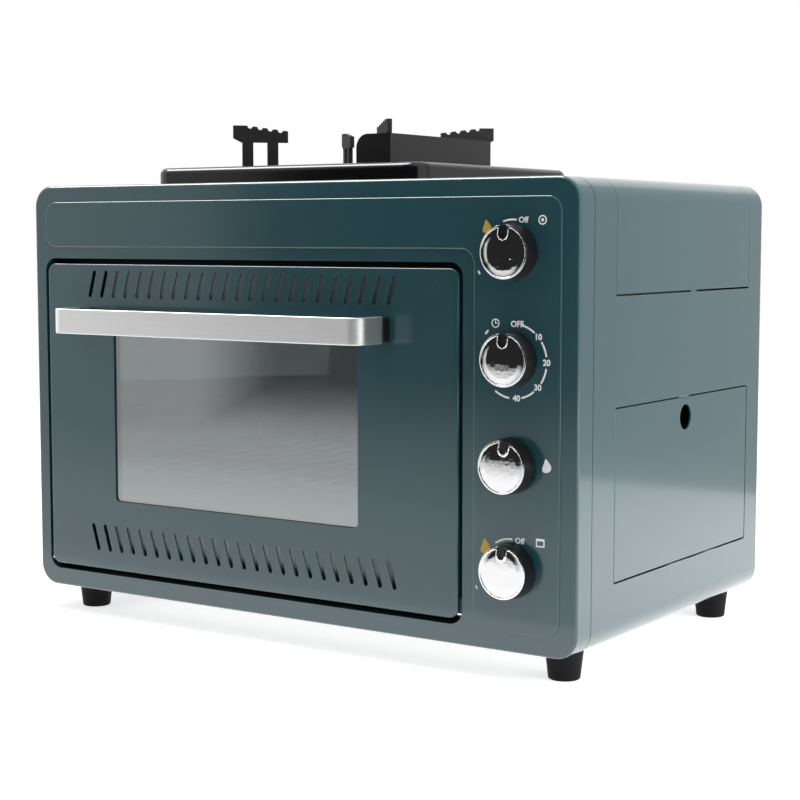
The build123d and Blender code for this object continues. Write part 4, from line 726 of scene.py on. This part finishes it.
@cache
def band_tree() -> Tree:
    """Flat bands bent round one centre: the same arc again, each turned on by a step.

    Returns:
        The closed tree.
    """
    tree = Tree("dial_bands", {
        "Radius": 23.6 * MM, "Width": 1.3 * MM, "Thickness": 0.06 * MM, "Start": 0.0,
        "Sweep": -0.3, "Count": 1, "Step": 0.0, "Place": (0.0, 0.0, 0.0)})
    given = tree.given
    arc = tree.add("GeometryNodeCurveArc", {
        "Resolution": 14, "Radius": given["Radius"], "Start Angle": given["Start"],
        "Sweep Angle": given["Sweep"]}, mode="RADIUS")[0]
    row = tree.add("GeometryNodeMeshLine",
                   {"Count": given["Count"], "Offset": (0.0, 0.0, 0.0)}, mode="OFFSET")[0]
    number = tree.add("GeometryNodeInputIndex")[0]
    turn = tree.vector(z=tree.math("MULTIPLY", number, given["Step"]))
    bands = tree.copies(row, tree.band(arc, given["Width"], given["Thickness"]), turn)
    return tree.close(tree.moved(bands, given["Place"], (QUARTER, 0.0, 0.0)))


@cache
def tape_tree() -> Tree:
    """A flat band laid along a rounded rectangle that stands in the XZ plane.

    Returns:
        The closed tree.
    """
    tree = Tree("window_tape", {
        "Width": 200.0 * MM, "Height": 130.0 * MM, "Corner": 4.0 * MM, "Band": 6.0 * MM,
        "Thickness": 0.3 * MM, "Place": (0.0, 0.0, 0.0)})
    given = tree.given
    path = tree.add("GeometryNodeFilletCurve", {
        "Curve": tree.rectangle(given["Width"], given["Height"]), "Radius": given["Corner"],
        "Count": 6}, mode="POLY")[0]
    band = tree.band(path, given["Band"], given["Thickness"])
    return tree.close(tree.moved(band, given["Place"], (QUARTER, 0.0, 0.0)))


# ---- sub-assemblies -------------------------------------------------------------------
@dataclass
class SubAssembly:
    """A group of the oven's pieces that are made and finished together."""

    finishes: ClassVar[dict[Finish, tuple[str, ...]]] = {}

    def dress(self) -> None:
        """Gives the group's construction nodes their finishes."""
        for finish, names in self.finishes.items():
            for name in names:
                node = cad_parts[name]
                if not node.material_slots:
                    node.data.materials.append(None)
                for slot in node.material_slots:
                    slot.material = finish.material()
                LOG.info("%s: %s", name, finish.value)

    def build(self) -> None:
        """Makes the pieces that the construction nodes leave out."""

    def keep(self, piece: bpy.types.Object, body: str, slot: str, *nodes: str) -> None:
        """Hands a finished piece to the model.

        Args:
            piece: the piece, with its place in its mesh.
            body: the body that it moves with.
            slot: the record's slot for its finish; not used.
            *nodes: the construction nodes that it stands for.
        """
        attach(piece, body)
        if nodes:
            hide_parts(*nodes)
        LOG.info("%s: %d faces on %s", piece.name, len(piece.data.polygons), body)

    def screw(self, name: str, node: str, axis: int, turn: Vec = (0.0, 0.0, 0.0)) -> None:
        """Puts cross-recess screws in the place of plain ones.

        Args:
            name: the screws' name.
            node: the construction node of the plain screws.
            axis: the axis that their heads point along, 1 for Y and 2 for Z.
            turn: what turns a head from Z to that axis.
        """
        boxes = solid_boxes(node)
        points = [(low + high) / 2 for low, high in boxes]
        for point, (_, high) in zip(points, boxes):
            point[axis] = high[axis] - SCREW_HEAD
        low, high = boxes[0]
        screws = screw_tree().bake(name, points, Finish.ZINC, {
            "Shank Length": high[axis] - low[axis] - SCREW_HEAD, "Turn": turn})
        self.keep(screws, "casing", "bare_steel", node)


@dataclass
class Casing(SubAssembly):
    """The painted casing with its back panel, base and feet."""

    finishes: ClassVar[dict[Finish, tuple[str, ...]]] = {
        Finish.CASING_PAINT: ("front_fascia", "body_wrap", "back_panel"),
        # the chassis plate behind the door's gaps is black, partly as painted shade for the gaps
        Finish.SEAM_PAINT: ("chassis_front",),
        Finish.LINING_STEEL: ("base_pan",),
        Finish.FOOT_RUBBER: ("feet",),
        Finish.ZINC: ("foot_screws", "back_panel_screws"),
    }

    def build(self) -> None:
        """Screws the back panel on."""
        self.screw("back_panel_cross_screws", "back_panel_screws", 1, (-QUARTER, 0.0, 0.0))


@dataclass
class OvenBox(SubAssembly):
    """The oven's lining, burner and racks, and the door's hinges and catches."""

    finishes: ClassVar[dict[Finish, tuple[str, ...]]] = {
        Finish.LINING_STEEL: ("oven_mouth", "oven_liner", "burner_cover", "oven_burner"),
        Finish.PLATED_WIRE: ("side_racks", "wire_shelf", "door_hinge_pins"),
        Finish.CERAMIC: ("ceramic_probes",),
        Finish.BLACK_MOULDING: ("door_hinge_blocks",),
        Finish.ZINC: ("catch_magnets",),
    }


@dataclass
class OvenDoor(SubAssembly):
    """The drop-down door with its window, handle and inner frame."""

    glass_lap: float = 9.5 * MM
    window_corner: float = 4.0 * MM
    tape_grow: float = 4.1 * MM
    tape_band: float = 9.0 * MM
    tape_thickness: float = 0.3 * MM
    finishes: ClassVar[dict[Finish, tuple[str, ...]]] = {
        Finish.CASING_PAINT: ("door_panel",),
        Finish.LINING_STEEL: ("door_inner_frame",),
        Finish.WINDOW_GLASS: ("door_glass",),
        Finish.ZINC: ("glass_clips",),
        Finish.HANDLE_STEEL: ("door_handle",),
        Finish.BLACK_MOULDING: ("handle_posts",),
    }

    def build(self) -> None:
        """Seats the glass on a heatproof tape, a thin dark line round the window."""
        low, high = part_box("door_glass")
        middle = (low + high) / 2
        grow = 2 * (self.tape_grow - self.glass_lap)
        tape = tape_tree().bake("window_tape", [Vector()], Finish.GLASS_TAPE, {
            "Width": high.x - low.x + grow, "Height": high.z - low.z + grow,
            "Corner": self.window_corner + self.tape_grow, "Band": self.tape_band,
            "Thickness": self.tape_thickness,
            "Place": (middle.x, low.y - self.tape_thickness / 2, middle.z)})
        self.keep(tape, "oven_door", "black_support")


@dataclass
class GasBays(SubAssembly):
    """The two cartridge bays at the right with their lid, door, valves and pipes."""

    finishes: ClassVar[dict[Finish, tuple[str, ...]]] = {
        Finish.CASING_PAINT: ("canister_lid", "canister_door"),
        Finish.LINING_STEEL: ("gas_bay_wall", "upper_cradle", "lower_cradle",
                              "regulator_bracket"),
        Finish.CAST_ALLOY: ("oven_regulator", "stove_regulator_valve"),
        Finish.BRASS: ("flame_safety_valve", "oven_valve", "valve_nuts"),
        Finish.ZINC: ("oven_timer", "gas_pipes", "lid_hinge_brackets",
                      "canister_door_pivots"),
        Finish.PLATED_WIRE: ("lid_hinge_pin",),
    }


@dataclass
class StoveTop(SubAssembly):
    """The drip tray with the burner, the pot supports and the bent windshield."""

    finishes: ClassVar[dict[Finish, tuple[str, ...]]] = {
        Finish.TRAY_ENAMEL: ("drip_tray",),
        Finish.SUPPORT_ENAMEL: ("pot_supports", "burner_cap"),
        Finish.SHIELD_ENAMEL: ("windshield",),
        Finish.LINING_STEEL: ("burner_bracket",),
        Finish.CAST_ALLOY: ("burner_bowl", "burner_head"),
        Finish.ZINC: ("tray_screws",),
    }

    def build(self) -> None:
        """Screws the windshield's foot down."""
        self.screw("tray_cross_screws", "tray_screws", 2)


def ring(radius: float) -> Outline:
    """A circle about (0, 0)."""
    turns = [math.tau * step / ROUND_STEPS for step in range(ROUND_STEPS)]
    return tuple((radius * math.cos(turn), radius * math.sin(turn)) for turn in turns)


def block(half_width: float, half_height: float, rise: float = 0.0) -> Outline:
    """An upright rectangle about (0, rise)."""
    low, high = rise - half_height, rise + half_height
    return ((-half_width, low), (half_width, low), (half_width, high), (-half_width, high))


def flame(height: float) -> Outline:
    """A leaning flame.

    Args:
        height: from its foot to its tip.

    Returns:
        Its outline, standing on (0, 0).
    """
    steps, belly, taper, lean = 36, 0.51, 0.75, 0.12    # all but steps for a height of 1
    points = []
    for step in range(steps):
        turn = math.tau * step / steps
        rise = (1 - math.cos(turn)) / 2
        side = belly * math.sin(turn) * (1 - taper * rise) + lean * math.sin(math.pi * rise)
        points.append((side * height, rise * height))
    return tuple(points)


@dataclass(frozen=True)
class Sign:
    """A plain sign beside a knob, in millimetres from the knob's axis."""

    name: str
    knob: str
    place: Point
    outlines: tuple[Outline, ...]
    finish: Finish = Finish.WHITE_INK


@dataclass(frozen=True)
class GasKnobMarks:
    """One gas knob's marks, in millimetres and degrees about the knob's axis."""

    knob: str
    off: Point
    sweep: Point
    flame: Point
    flame_height: float
    tick_radius: float


@dataclass
class Controls(SubAssembly):
    """The four knobs and the marks printed round them."""

    cap_dome: float = 1.1 * MM
    cap_cuts: int = 44
    cap_flat: float = 0.70
    cap_crease: float = 30.0
    cap_flatness: float = 1.0
    cap_sliver: float = 0.01 * MM
    ink: float = 0.06 * MM
    line: float = 1.3 * MM
    stroke_gain: float = 0.034
    timer_radius: float = 24.2 * MM
    timer_shift: Vec = (1.5 * MM, 0.0, -1.2 * MM)
    timer_tick: tuple[float, float, float] = (27.6 * MM, 134.5, 7.0)    # radius, start, sweep
    sweep_radius: float = 20.8 * MM
    low_tick: Point = (205.5, 5.0)              # start, sweep
    number_size: float = 5.5 * MM
    off_size: float = 5.2 * MM
    numbers: tuple[str, ...] = ("OFF", "10", "20", "30", "40")
    first_number: float = 84.5
    number_step: float = -42.4
    number_gap: float = 9.0
    last_gap: float = 13.0
    last_sweep: float = -27.0
    gas_marks: tuple[GasKnobMarks, ...] = (
        GasKnobMarks("stove", (7.9, 20.6), (110.0, 82.0), (-20.2, 12.3), 8.6, 28.5),
        GasKnobMarks("oven", (6.6, 20.2), (124.0, 87.0), (-20.4, 9.6), 9.8, 29.6),
    )
    signs: tuple[Sign, ...] = (
        Sign("sign_burner", "stove", (22.0, 20.6), (ring(3.1), ring(2.3), ring(1.1))),
        Sign("sign_clock", "timer", (-12.5, 23.2), (ring(3.0), ring(2.3))),
        Sign("sign_clock_hands", "timer", (-12.5, 23.2),
             (((-0.3, -0.3), (1.5, -0.3), (1.5, 0.3), (0.3, 0.3), (0.3, 1.8), (-0.3, 1.8)),)),
        Sign("sign_flame", "safety", (25.5, -3.0), (flame(9.0),)),
        Sign("sign_oven", "oven", (22.0, 20.4), (block(3.2, 2.8), block(2.3, 1.5, -0.3))),
    )
    finishes: ClassVar[dict[Finish, tuple[str, ...]]] = {
        Finish.BLACK_MOULDING: tuple(f"{knob}_knob" for knob in KNOBS),
        Finish.CHROME: tuple(f"{knob}_knob_cap" for knob in KNOBS),
        Finish.ZINC: tuple(f"{knob}_spindle" for knob in KNOBS),
    }

    def build(self) -> None:
        """Presses the domed caps and prints every mark on the raised field."""
        for knob in KNOBS:
            self.keep(self.domed_cap(knob), f"{knob}_control", "chrome_caps",
                      f"{knob}_knob_cap")
        pieces = self.timer_dial()
        for marks in self.gas_marks:
            pieces += self.gas_knob(marks)
        pieces += [self.drawn(sign) for sign in self.signs]
        for piece in pieces:
            self.keep(piece, "casing", "painted_casing")

    def domed_cap(self, knob: str) -> bpy.types.Object:
        """A pressed cap whose face falls away towards its rim.

        Args:
            knob: which knob.

        Returns:
            The cap, with the construction node's outline and notch.
        """
        name = f"{knob}_domed_cap"
        low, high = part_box(f"{knob}_knob_cap")
        axis = self.axis(knob)
        radius = (high.x - low.x) / 2
        form = node_form(f"{knob}_knob_cap")
        bmesh.ops.dissolve_limit(form, angle_limit=math.radians(self.cap_flatness),
                                 verts=form.verts, edges=form.edges)
        for cut in range(1, self.cap_cuts):
            place = low.lerp(high, cut / self.cap_cuts)
            for normal in (Vector((1.0, 0.0, 0.0)), Vector((0.0, 0.0, 1.0))):
                whole = form.verts[:] + form.edges[:] + form.faces[:]
                bmesh.ops.bisect_plane(form, geom=whole, plane_co=place, plane_no=normal)
        for vert in form.verts:
            reach = math.hypot(vert.co.x - axis.x, vert.co.z - axis.z) / radius
            front = (high.y - vert.co.y) / (high.y - low.y)
            fall = max(0.0, (reach - self.cap_flat) / (1.0 - self.cap_flat))
            vert.co.y += front * self.cap_dome * fall
        bmesh.ops.dissolve_degenerate(form, dist=self.cap_sliver, edges=form.edges)
        for face in form.faces:
            face.smooth = True
        mesh = bpy.data.meshes.new(name)
        form.to_mesh(mesh)
        form.free()
        mesh.set_sharp_from_angle(angle=math.radians(self.cap_crease))
        mesh.materials.append(Finish.CHROME.material())
        cap = stand(name, mesh)
        shading = cap.modifiers.new("even_shading", "WEIGHTED_NORMAL")
        shading.keep_sharp = True
        cap.data = evaluated(cap)
        cap.modifiers.remove(shading)
        bpy.data.meshes.remove(mesh)
        cap.data.name = name
        return cap

    @staticmethod
    def axis(knob: str) -> Vector:
        """The centre of a knob's cap."""
        low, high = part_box(f"{knob}_knob_cap")
        return (low + high) / 2

    def ink_y(self) -> float:
        """The Y of the middle of the ink."""
        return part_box("front_fascia")[0].y - self.ink / 2

    def printed(self, curve: bpy.types.Curve, x: float, z: float,
                finish: Finish) -> bpy.types.Object:
        """Prints a flat curve or a text on the fascia.

        Args:
            curve: the curve or text data, drawn in its XY plane and named as the piece.
            x: where its origin goes.
            z: where its origin goes.
            finish: the ink.

        Returns:
            The print as a thin closed mesh.
        """
        curve.extrude = self.ink / 2
        name = curve.name
        maker = stand(name + "_maker", curve)
        mesh = evaluated(maker)
        bpy.data.objects.remove(maker)
        mesh.transform(Matrix.Translation((x, self.ink_y(), z))
                       @ Matrix.Rotation(QUARTER, 4, "X"))
        mesh.materials.clear()
        mesh.materials.append(finish.material())
        return finished(name, mesh)

    def words(self, name: str, body: str, x: float, z: float, size: float) -> bpy.types.Object:
        """A word or number centred on a place.

        Args:
            name: the piece's name.
            body: what it says.
            x: its centre's X.
            z: its centre's Z.
            size: the font's size.

        Returns:
            The printed piece.
        """
        curve = bpy.data.curves.new(name, "FONT")
        curve.body = body
        curve.size = size
        curve.align_x = "CENTER"
        curve.align_y = "CENTER"
        curve.offset = self.stroke_gain * size
        curve.resolution_u = 3
        return self.printed(curve, x, z, Finish.WHITE_INK)

    def drawn(self, sign: Sign) -> bpy.types.Object:
        """Draws a sign; an outline inside another is a hole.

        Args:
            sign: its place and outlines.

        Returns:
            The printed piece.
        """
        axis = self.axis(sign.knob)
        foot_x, foot_z = axis.x + sign.place[0] * MM, axis.z + sign.place[1] * MM
        curve = bpy.data.curves.new(sign.name, "CURVE")
        curve.dimensions = "2D"
        curve.fill_mode = "BOTH"
        for outline in sign.outlines:
            spline = curve.splines.new("POLY")
            spline.points.add(len(outline) - 1)
            for point, (x, z) in zip(spline.points, outline):
                point.co = (foot_x + x * MM, foot_z + z * MM, 0.0, 1.0)
            spline.use_cyclic_u = True
        return self.printed(curve, 0.0, 0.0, sign.finish)

    def bands(self, name: str, centre: Vector, radius: float, start: float, sweep: float,
              count: int = 1, step: float = 0.0) -> bpy.types.Object:
        """Bent bands round a knob.

        Args:
            name: the piece's name.
            centre: the bands' centre.
            radius: the bands' middle radius.
            start: start of the first band in degrees, anticlockwise from +X.
            sweep: how far each band goes, in degrees.
            count: how many bands.
            step: degrees from one band to the next.

        Returns:
            The printed piece.
        """
        return band_tree().bake(name, [Vector()], Finish.WHITE_INK, {
            "Radius": radius, "Width": self.line, "Thickness": self.ink,
            "Start": math.radians(start), "Sweep": math.radians(sweep), "Count": count,
            "Step": math.radians(step), "Place": (centre.x, self.ink_y(), centre.z)})

    def timer_dial(self) -> list[bpy.types.Object]:
        """Numbers round the timer with bands between them.

        Returns:
            The printed pieces.
        """
        centre = self.axis("timer") + Vector(self.timer_shift)
        pieces = []
        for place, label in enumerate(self.numbers):
            turn = math.radians(self.first_number + place * self.number_step)
            pieces.append(self.words(f"timer_{label}", label,
                                     centre.x + self.timer_radius * math.cos(turn),
                                     centre.z + self.timer_radius * math.sin(turn),
                                     self.number_size))
        spans = len(self.numbers) - 1
        last = self.first_number + spans * self.number_step - self.last_gap
        pieces.append(self.bands(
            "timer_bands", centre, self.timer_radius, self.first_number - self.number_gap,
            self.number_step + 2 * self.number_gap, spans, self.number_step))
        pieces.append(self.bands("timer_last_band", centre, self.timer_radius, last,
                                 self.last_sweep))
        pieces.append(self.bands("timer_tick", centre, *self.timer_tick))
        return pieces

    def gas_knob(self, marks: GasKnobMarks) -> list[bpy.types.Object]:
        """The sweep, the low tick, the flame and the Off of one gas knob.

        Args:
            marks: where they stand.

        Returns:
            The printed pieces.
        """
        knob, axis = marks.knob, self.axis(marks.knob)
        start, end = marks.sweep
        return [
            self.bands(f"{knob}_sweep", axis, self.sweep_radius, start, end - start),
            self.bands(f"{knob}_tick", axis, marks.tick_radius * MM, *self.low_tick),
            self.drawn(Sign(f"{knob}_flame", knob, marks.flame, (flame(marks.flame_height),),
                            Finish.YELLOW_INK)),
            self.words(f"{knob}_off", "Off", axis.x + marks.off[0] * MM,
                       axis.z + marks.off[1] * MM, self.off_size),
        ]


# ---- studio ---------------------------------------------------------------------------
@dataclass(frozen=True)
class Fade:
    """A card's strength that changes smoothly along one axis, from near to far."""

    axis: str
    start: float
    end: float
    near: float
    far: float

    def strength(self, graph: Graph, place: Socket) -> Socket:
        """The strength at a place along the axis."""
        return graph.add("ShaderNodeMapRange", {
            "Value": place, "From Min": self.start, "From Max": self.end, "To Min": self.near,
            "To Max": self.far}, interpolation_type="SMOOTHSTEP")[0]


@dataclass(frozen=True)
class Card:
    """A card that only reflections see, as strong as its strength or its strongest fade."""

    name: str
    low: Vec
    high: Vec
    strength: float
    fades: tuple[Fade, ...] = ()

    def corners(self) -> list[Vec]:
        """The four corners in order, upright or level."""
        (x0, y0, z0), (x1, y1, z1) = self.low, self.high
        return [self.low, (x1, y0, z0), self.high, (x0, y1 if z0 == z1 else y0, z1)]


@dataclass(frozen=True)
class SoftLamp:
    """A soft rectangular lamp."""

    name: str
    place: Vec
    aim: Vec
    size: tuple[float, float]
    power: float


@dataclass
class Studio:
    """Camera, white floor, lamps and the cards that the paint and the metal reflect."""

    camera_place: Vec = (767.65 * MM, -1119.44 * MM, 295.12 * MM)
    camera_turn: Vec = (84.663, 0.0, 33.922)
    lens: float = 79.29
    sensor: float = 36.0
    floor_half: float = 9.0
    floor_tone: float = 0.8
    floor_roughness: float = 0.9
    floor_glow: float = 0.68
    room_light: float = 0.40
    lamps: tuple[SoftLamp, ...] = (
        SoftLamp("top_light", (0.1, -0.2, 1.9), (0.0, 0.0, 0.2), (1.5, 1.2), 25.0),
        SoftLamp("left_light", (-1.2, -1.1, 0.5), (-0.15, -0.1, 0.15), (0.9, 0.9), 2.4),
        SoftLamp("right_light", (2.2, -0.1, 0.9), (0.1, 0.0, 0.15), (1.4, 1.4), 46.0),
    )
    cards: tuple[Card, ...] = (
        Card("dark_wall", (-1.2, -1.02, 0.0), (1.6, -1.02, 1.7), 0.02,
             (Fade("Z", 0.0, 0.11, 0.72, 0.02), Fade("X", -0.86, -0.68, 0.62, 0.02))),
        Card("floor_apron", (-1.6, -1.02, 0.001), (1.6, -0.30, 0.001), 0.0,
             (Fade("Y", -1.02, -0.55, 0.72, 1.1),)),
        Card("grey_wall", (0.30, 0.765, 0.0), (2.2, 0.765, 1.6), 0.60),
        Card("rear_wall", (-6.0, 2.0, 0.0), (-1.1, 2.0, 1.2), 0.12),
        Card("overhead_strip", (-2.6, -0.9, 2.6), (-0.4, 0.3, 2.6), 14.0),
    )

    def build(self) -> None:
        """Sets everything up."""
        self.camera()
        self.floor()
        self.world()
        for lamp in self.lamps:
            self.lamp(lamp)
        for card in self.cards:
            self.card(card)
        bpy.context.scene.view_settings.view_transform = "Standard"

    def camera(self) -> None:
        """The camera at the view's angle."""
        data = bpy.data.cameras.new("camera")
        data.lens = self.lens
        data.sensor_width = self.sensor
        camera = stand("camera", data)
        camera.location = self.camera_place
        camera.rotation_euler = [math.radians(angle) for angle in self.camera_turn]
        bpy.context.scene.camera = camera

    def lamp(self, lamp: SoftLamp) -> None:
        """Hangs one lamp, which lights surfaces but isn't mirrored in them.

        Args:
            lamp: its place and size.
        """
        data = bpy.data.lights.new(lamp.name, "AREA")
        data.shape = "RECTANGLE"
        data.size, data.size_y = lamp.size
        data.energy = lamp.power
        hung = stand(lamp.name, data)
        hung.location = lamp.place
        hung.rotation_mode = "QUATERNION"
        aim = Vector(lamp.aim) - Vector(lamp.place)
        hung.rotation_quaternion = aim.to_track_quat("-Z", "Y")
        hung.visible_glossy = False

    @staticmethod
    def sheet(name: str, corners: Sequence[Vec],
              material: bpy.types.Material) -> bpy.types.Object:
        """One flat sheet that isn't part of the oven.

        Args:
            name: its name.
            corners: its four corners in order.
            material: its material.

        Returns:
            The sheet.
        """
        mesh = bpy.data.meshes.new(name)
        mesh.from_pydata(list(corners), [], [(0, 1, 2, 3)])
        mesh.materials.append(material)
        sheet = stand(name, mesh)
        return sheet

    def card(self, card: Card) -> None:
        """Stands one card up.

        Args:
            card: its place and strength.
        """
        material, graph, _ = new_material(card.name)
        along = graph.add("ShaderNodeSeparateXYZ", {0: graph.place()})
        strength: Socket | float = card.strength
        for fade in card.fades:
            strength = graph.math("MAXIMUM", strength, fade.strength(graph, along[fade.axis]))
        glow = graph.add("ShaderNodeEmission", {"Strength": strength})
        graph.feed(graph.find("OUTPUT_MATERIAL"), {"Surface": glow[0]})
        sheet = self.sheet(card.name, card.corners(), material)
        for kind in ("camera", "diffuse", "transmission", "shadow", "volume_scatter"):
            setattr(sheet, f"visible_{kind}", False)

    @staticmethod
    def seen(graph: Graph) -> Socket:
        """Tells the rays that show a surface from those that light one.

        Args:
            graph: the graph that asks.

        Returns:
            1 for rays from the camera, off a glossy surface or through glass, else 0.
        """
        path = graph.add("ShaderNodeLightPath")
        straight = graph.math("MAXIMUM", path["Is Camera Ray"], path["Is Glossy Ray"])
        return graph.math("MAXIMUM", straight, path["Is Transmission Ray"])

    def floor(self) -> None:
        """A wide floor that reads white and keeps the oven's shadow."""
        material, graph, shader = new_material("floor")
        graph.feed(shader, {"Base Color": rgba((self.floor_tone,) * 3),
                            "Roughness": self.floor_roughness, "Specular IOR Level": 0.0})
        glow = graph.add("ShaderNodeEmission", {"Strength": self.floor_glow})
        lit = graph.add("ShaderNodeAddShader", {0: shader.outputs[0], 1: glow[0]})
        surface = graph.add("ShaderNodeMixShader",
                            {0: self.seen(graph), 1: shader.outputs[0], 2: lit[0]})
        graph.feed(graph.find("OUTPUT_MATERIAL"), {"Surface": surface[0]})
        half = self.floor_half
        self.sheet("floor", [(x, y, 0.0) for x, y in block(half, half)], material)

    def world(self) -> None:
        """White wherever it is seen or mirrored, and even light on everything else."""
        world = bpy.data.worlds.new("studio")
        world.use_nodes = True
        bpy.context.scene.world = world
        graph = Graph(world.node_tree)
        strength = graph.add("ShaderNodeMix", {
            "Factor": self.seen(graph), "A": self.room_light, "B": 1.0}, data_type="FLOAT")
        graph.feed(graph.find("BACKGROUND"),
                   {"Strength": strength[0], "Color": rgba((1.0, 1.0, 1.0))})


def main() -> None:
    """Sets the studio, then makes and dresses each sub-assembly."""
    logging.basicConfig(level=logging.INFO, format="%(name)s: %(message)s")
    Studio().build()
    for group in (Casing, OvenBox, OvenDoor, Controls, GasBays, StoveTop):
        LOG.info("%s", group.__name__)
        part = group()
        part.dress()
        part.build()


if __name__ == "__main__":
    main()
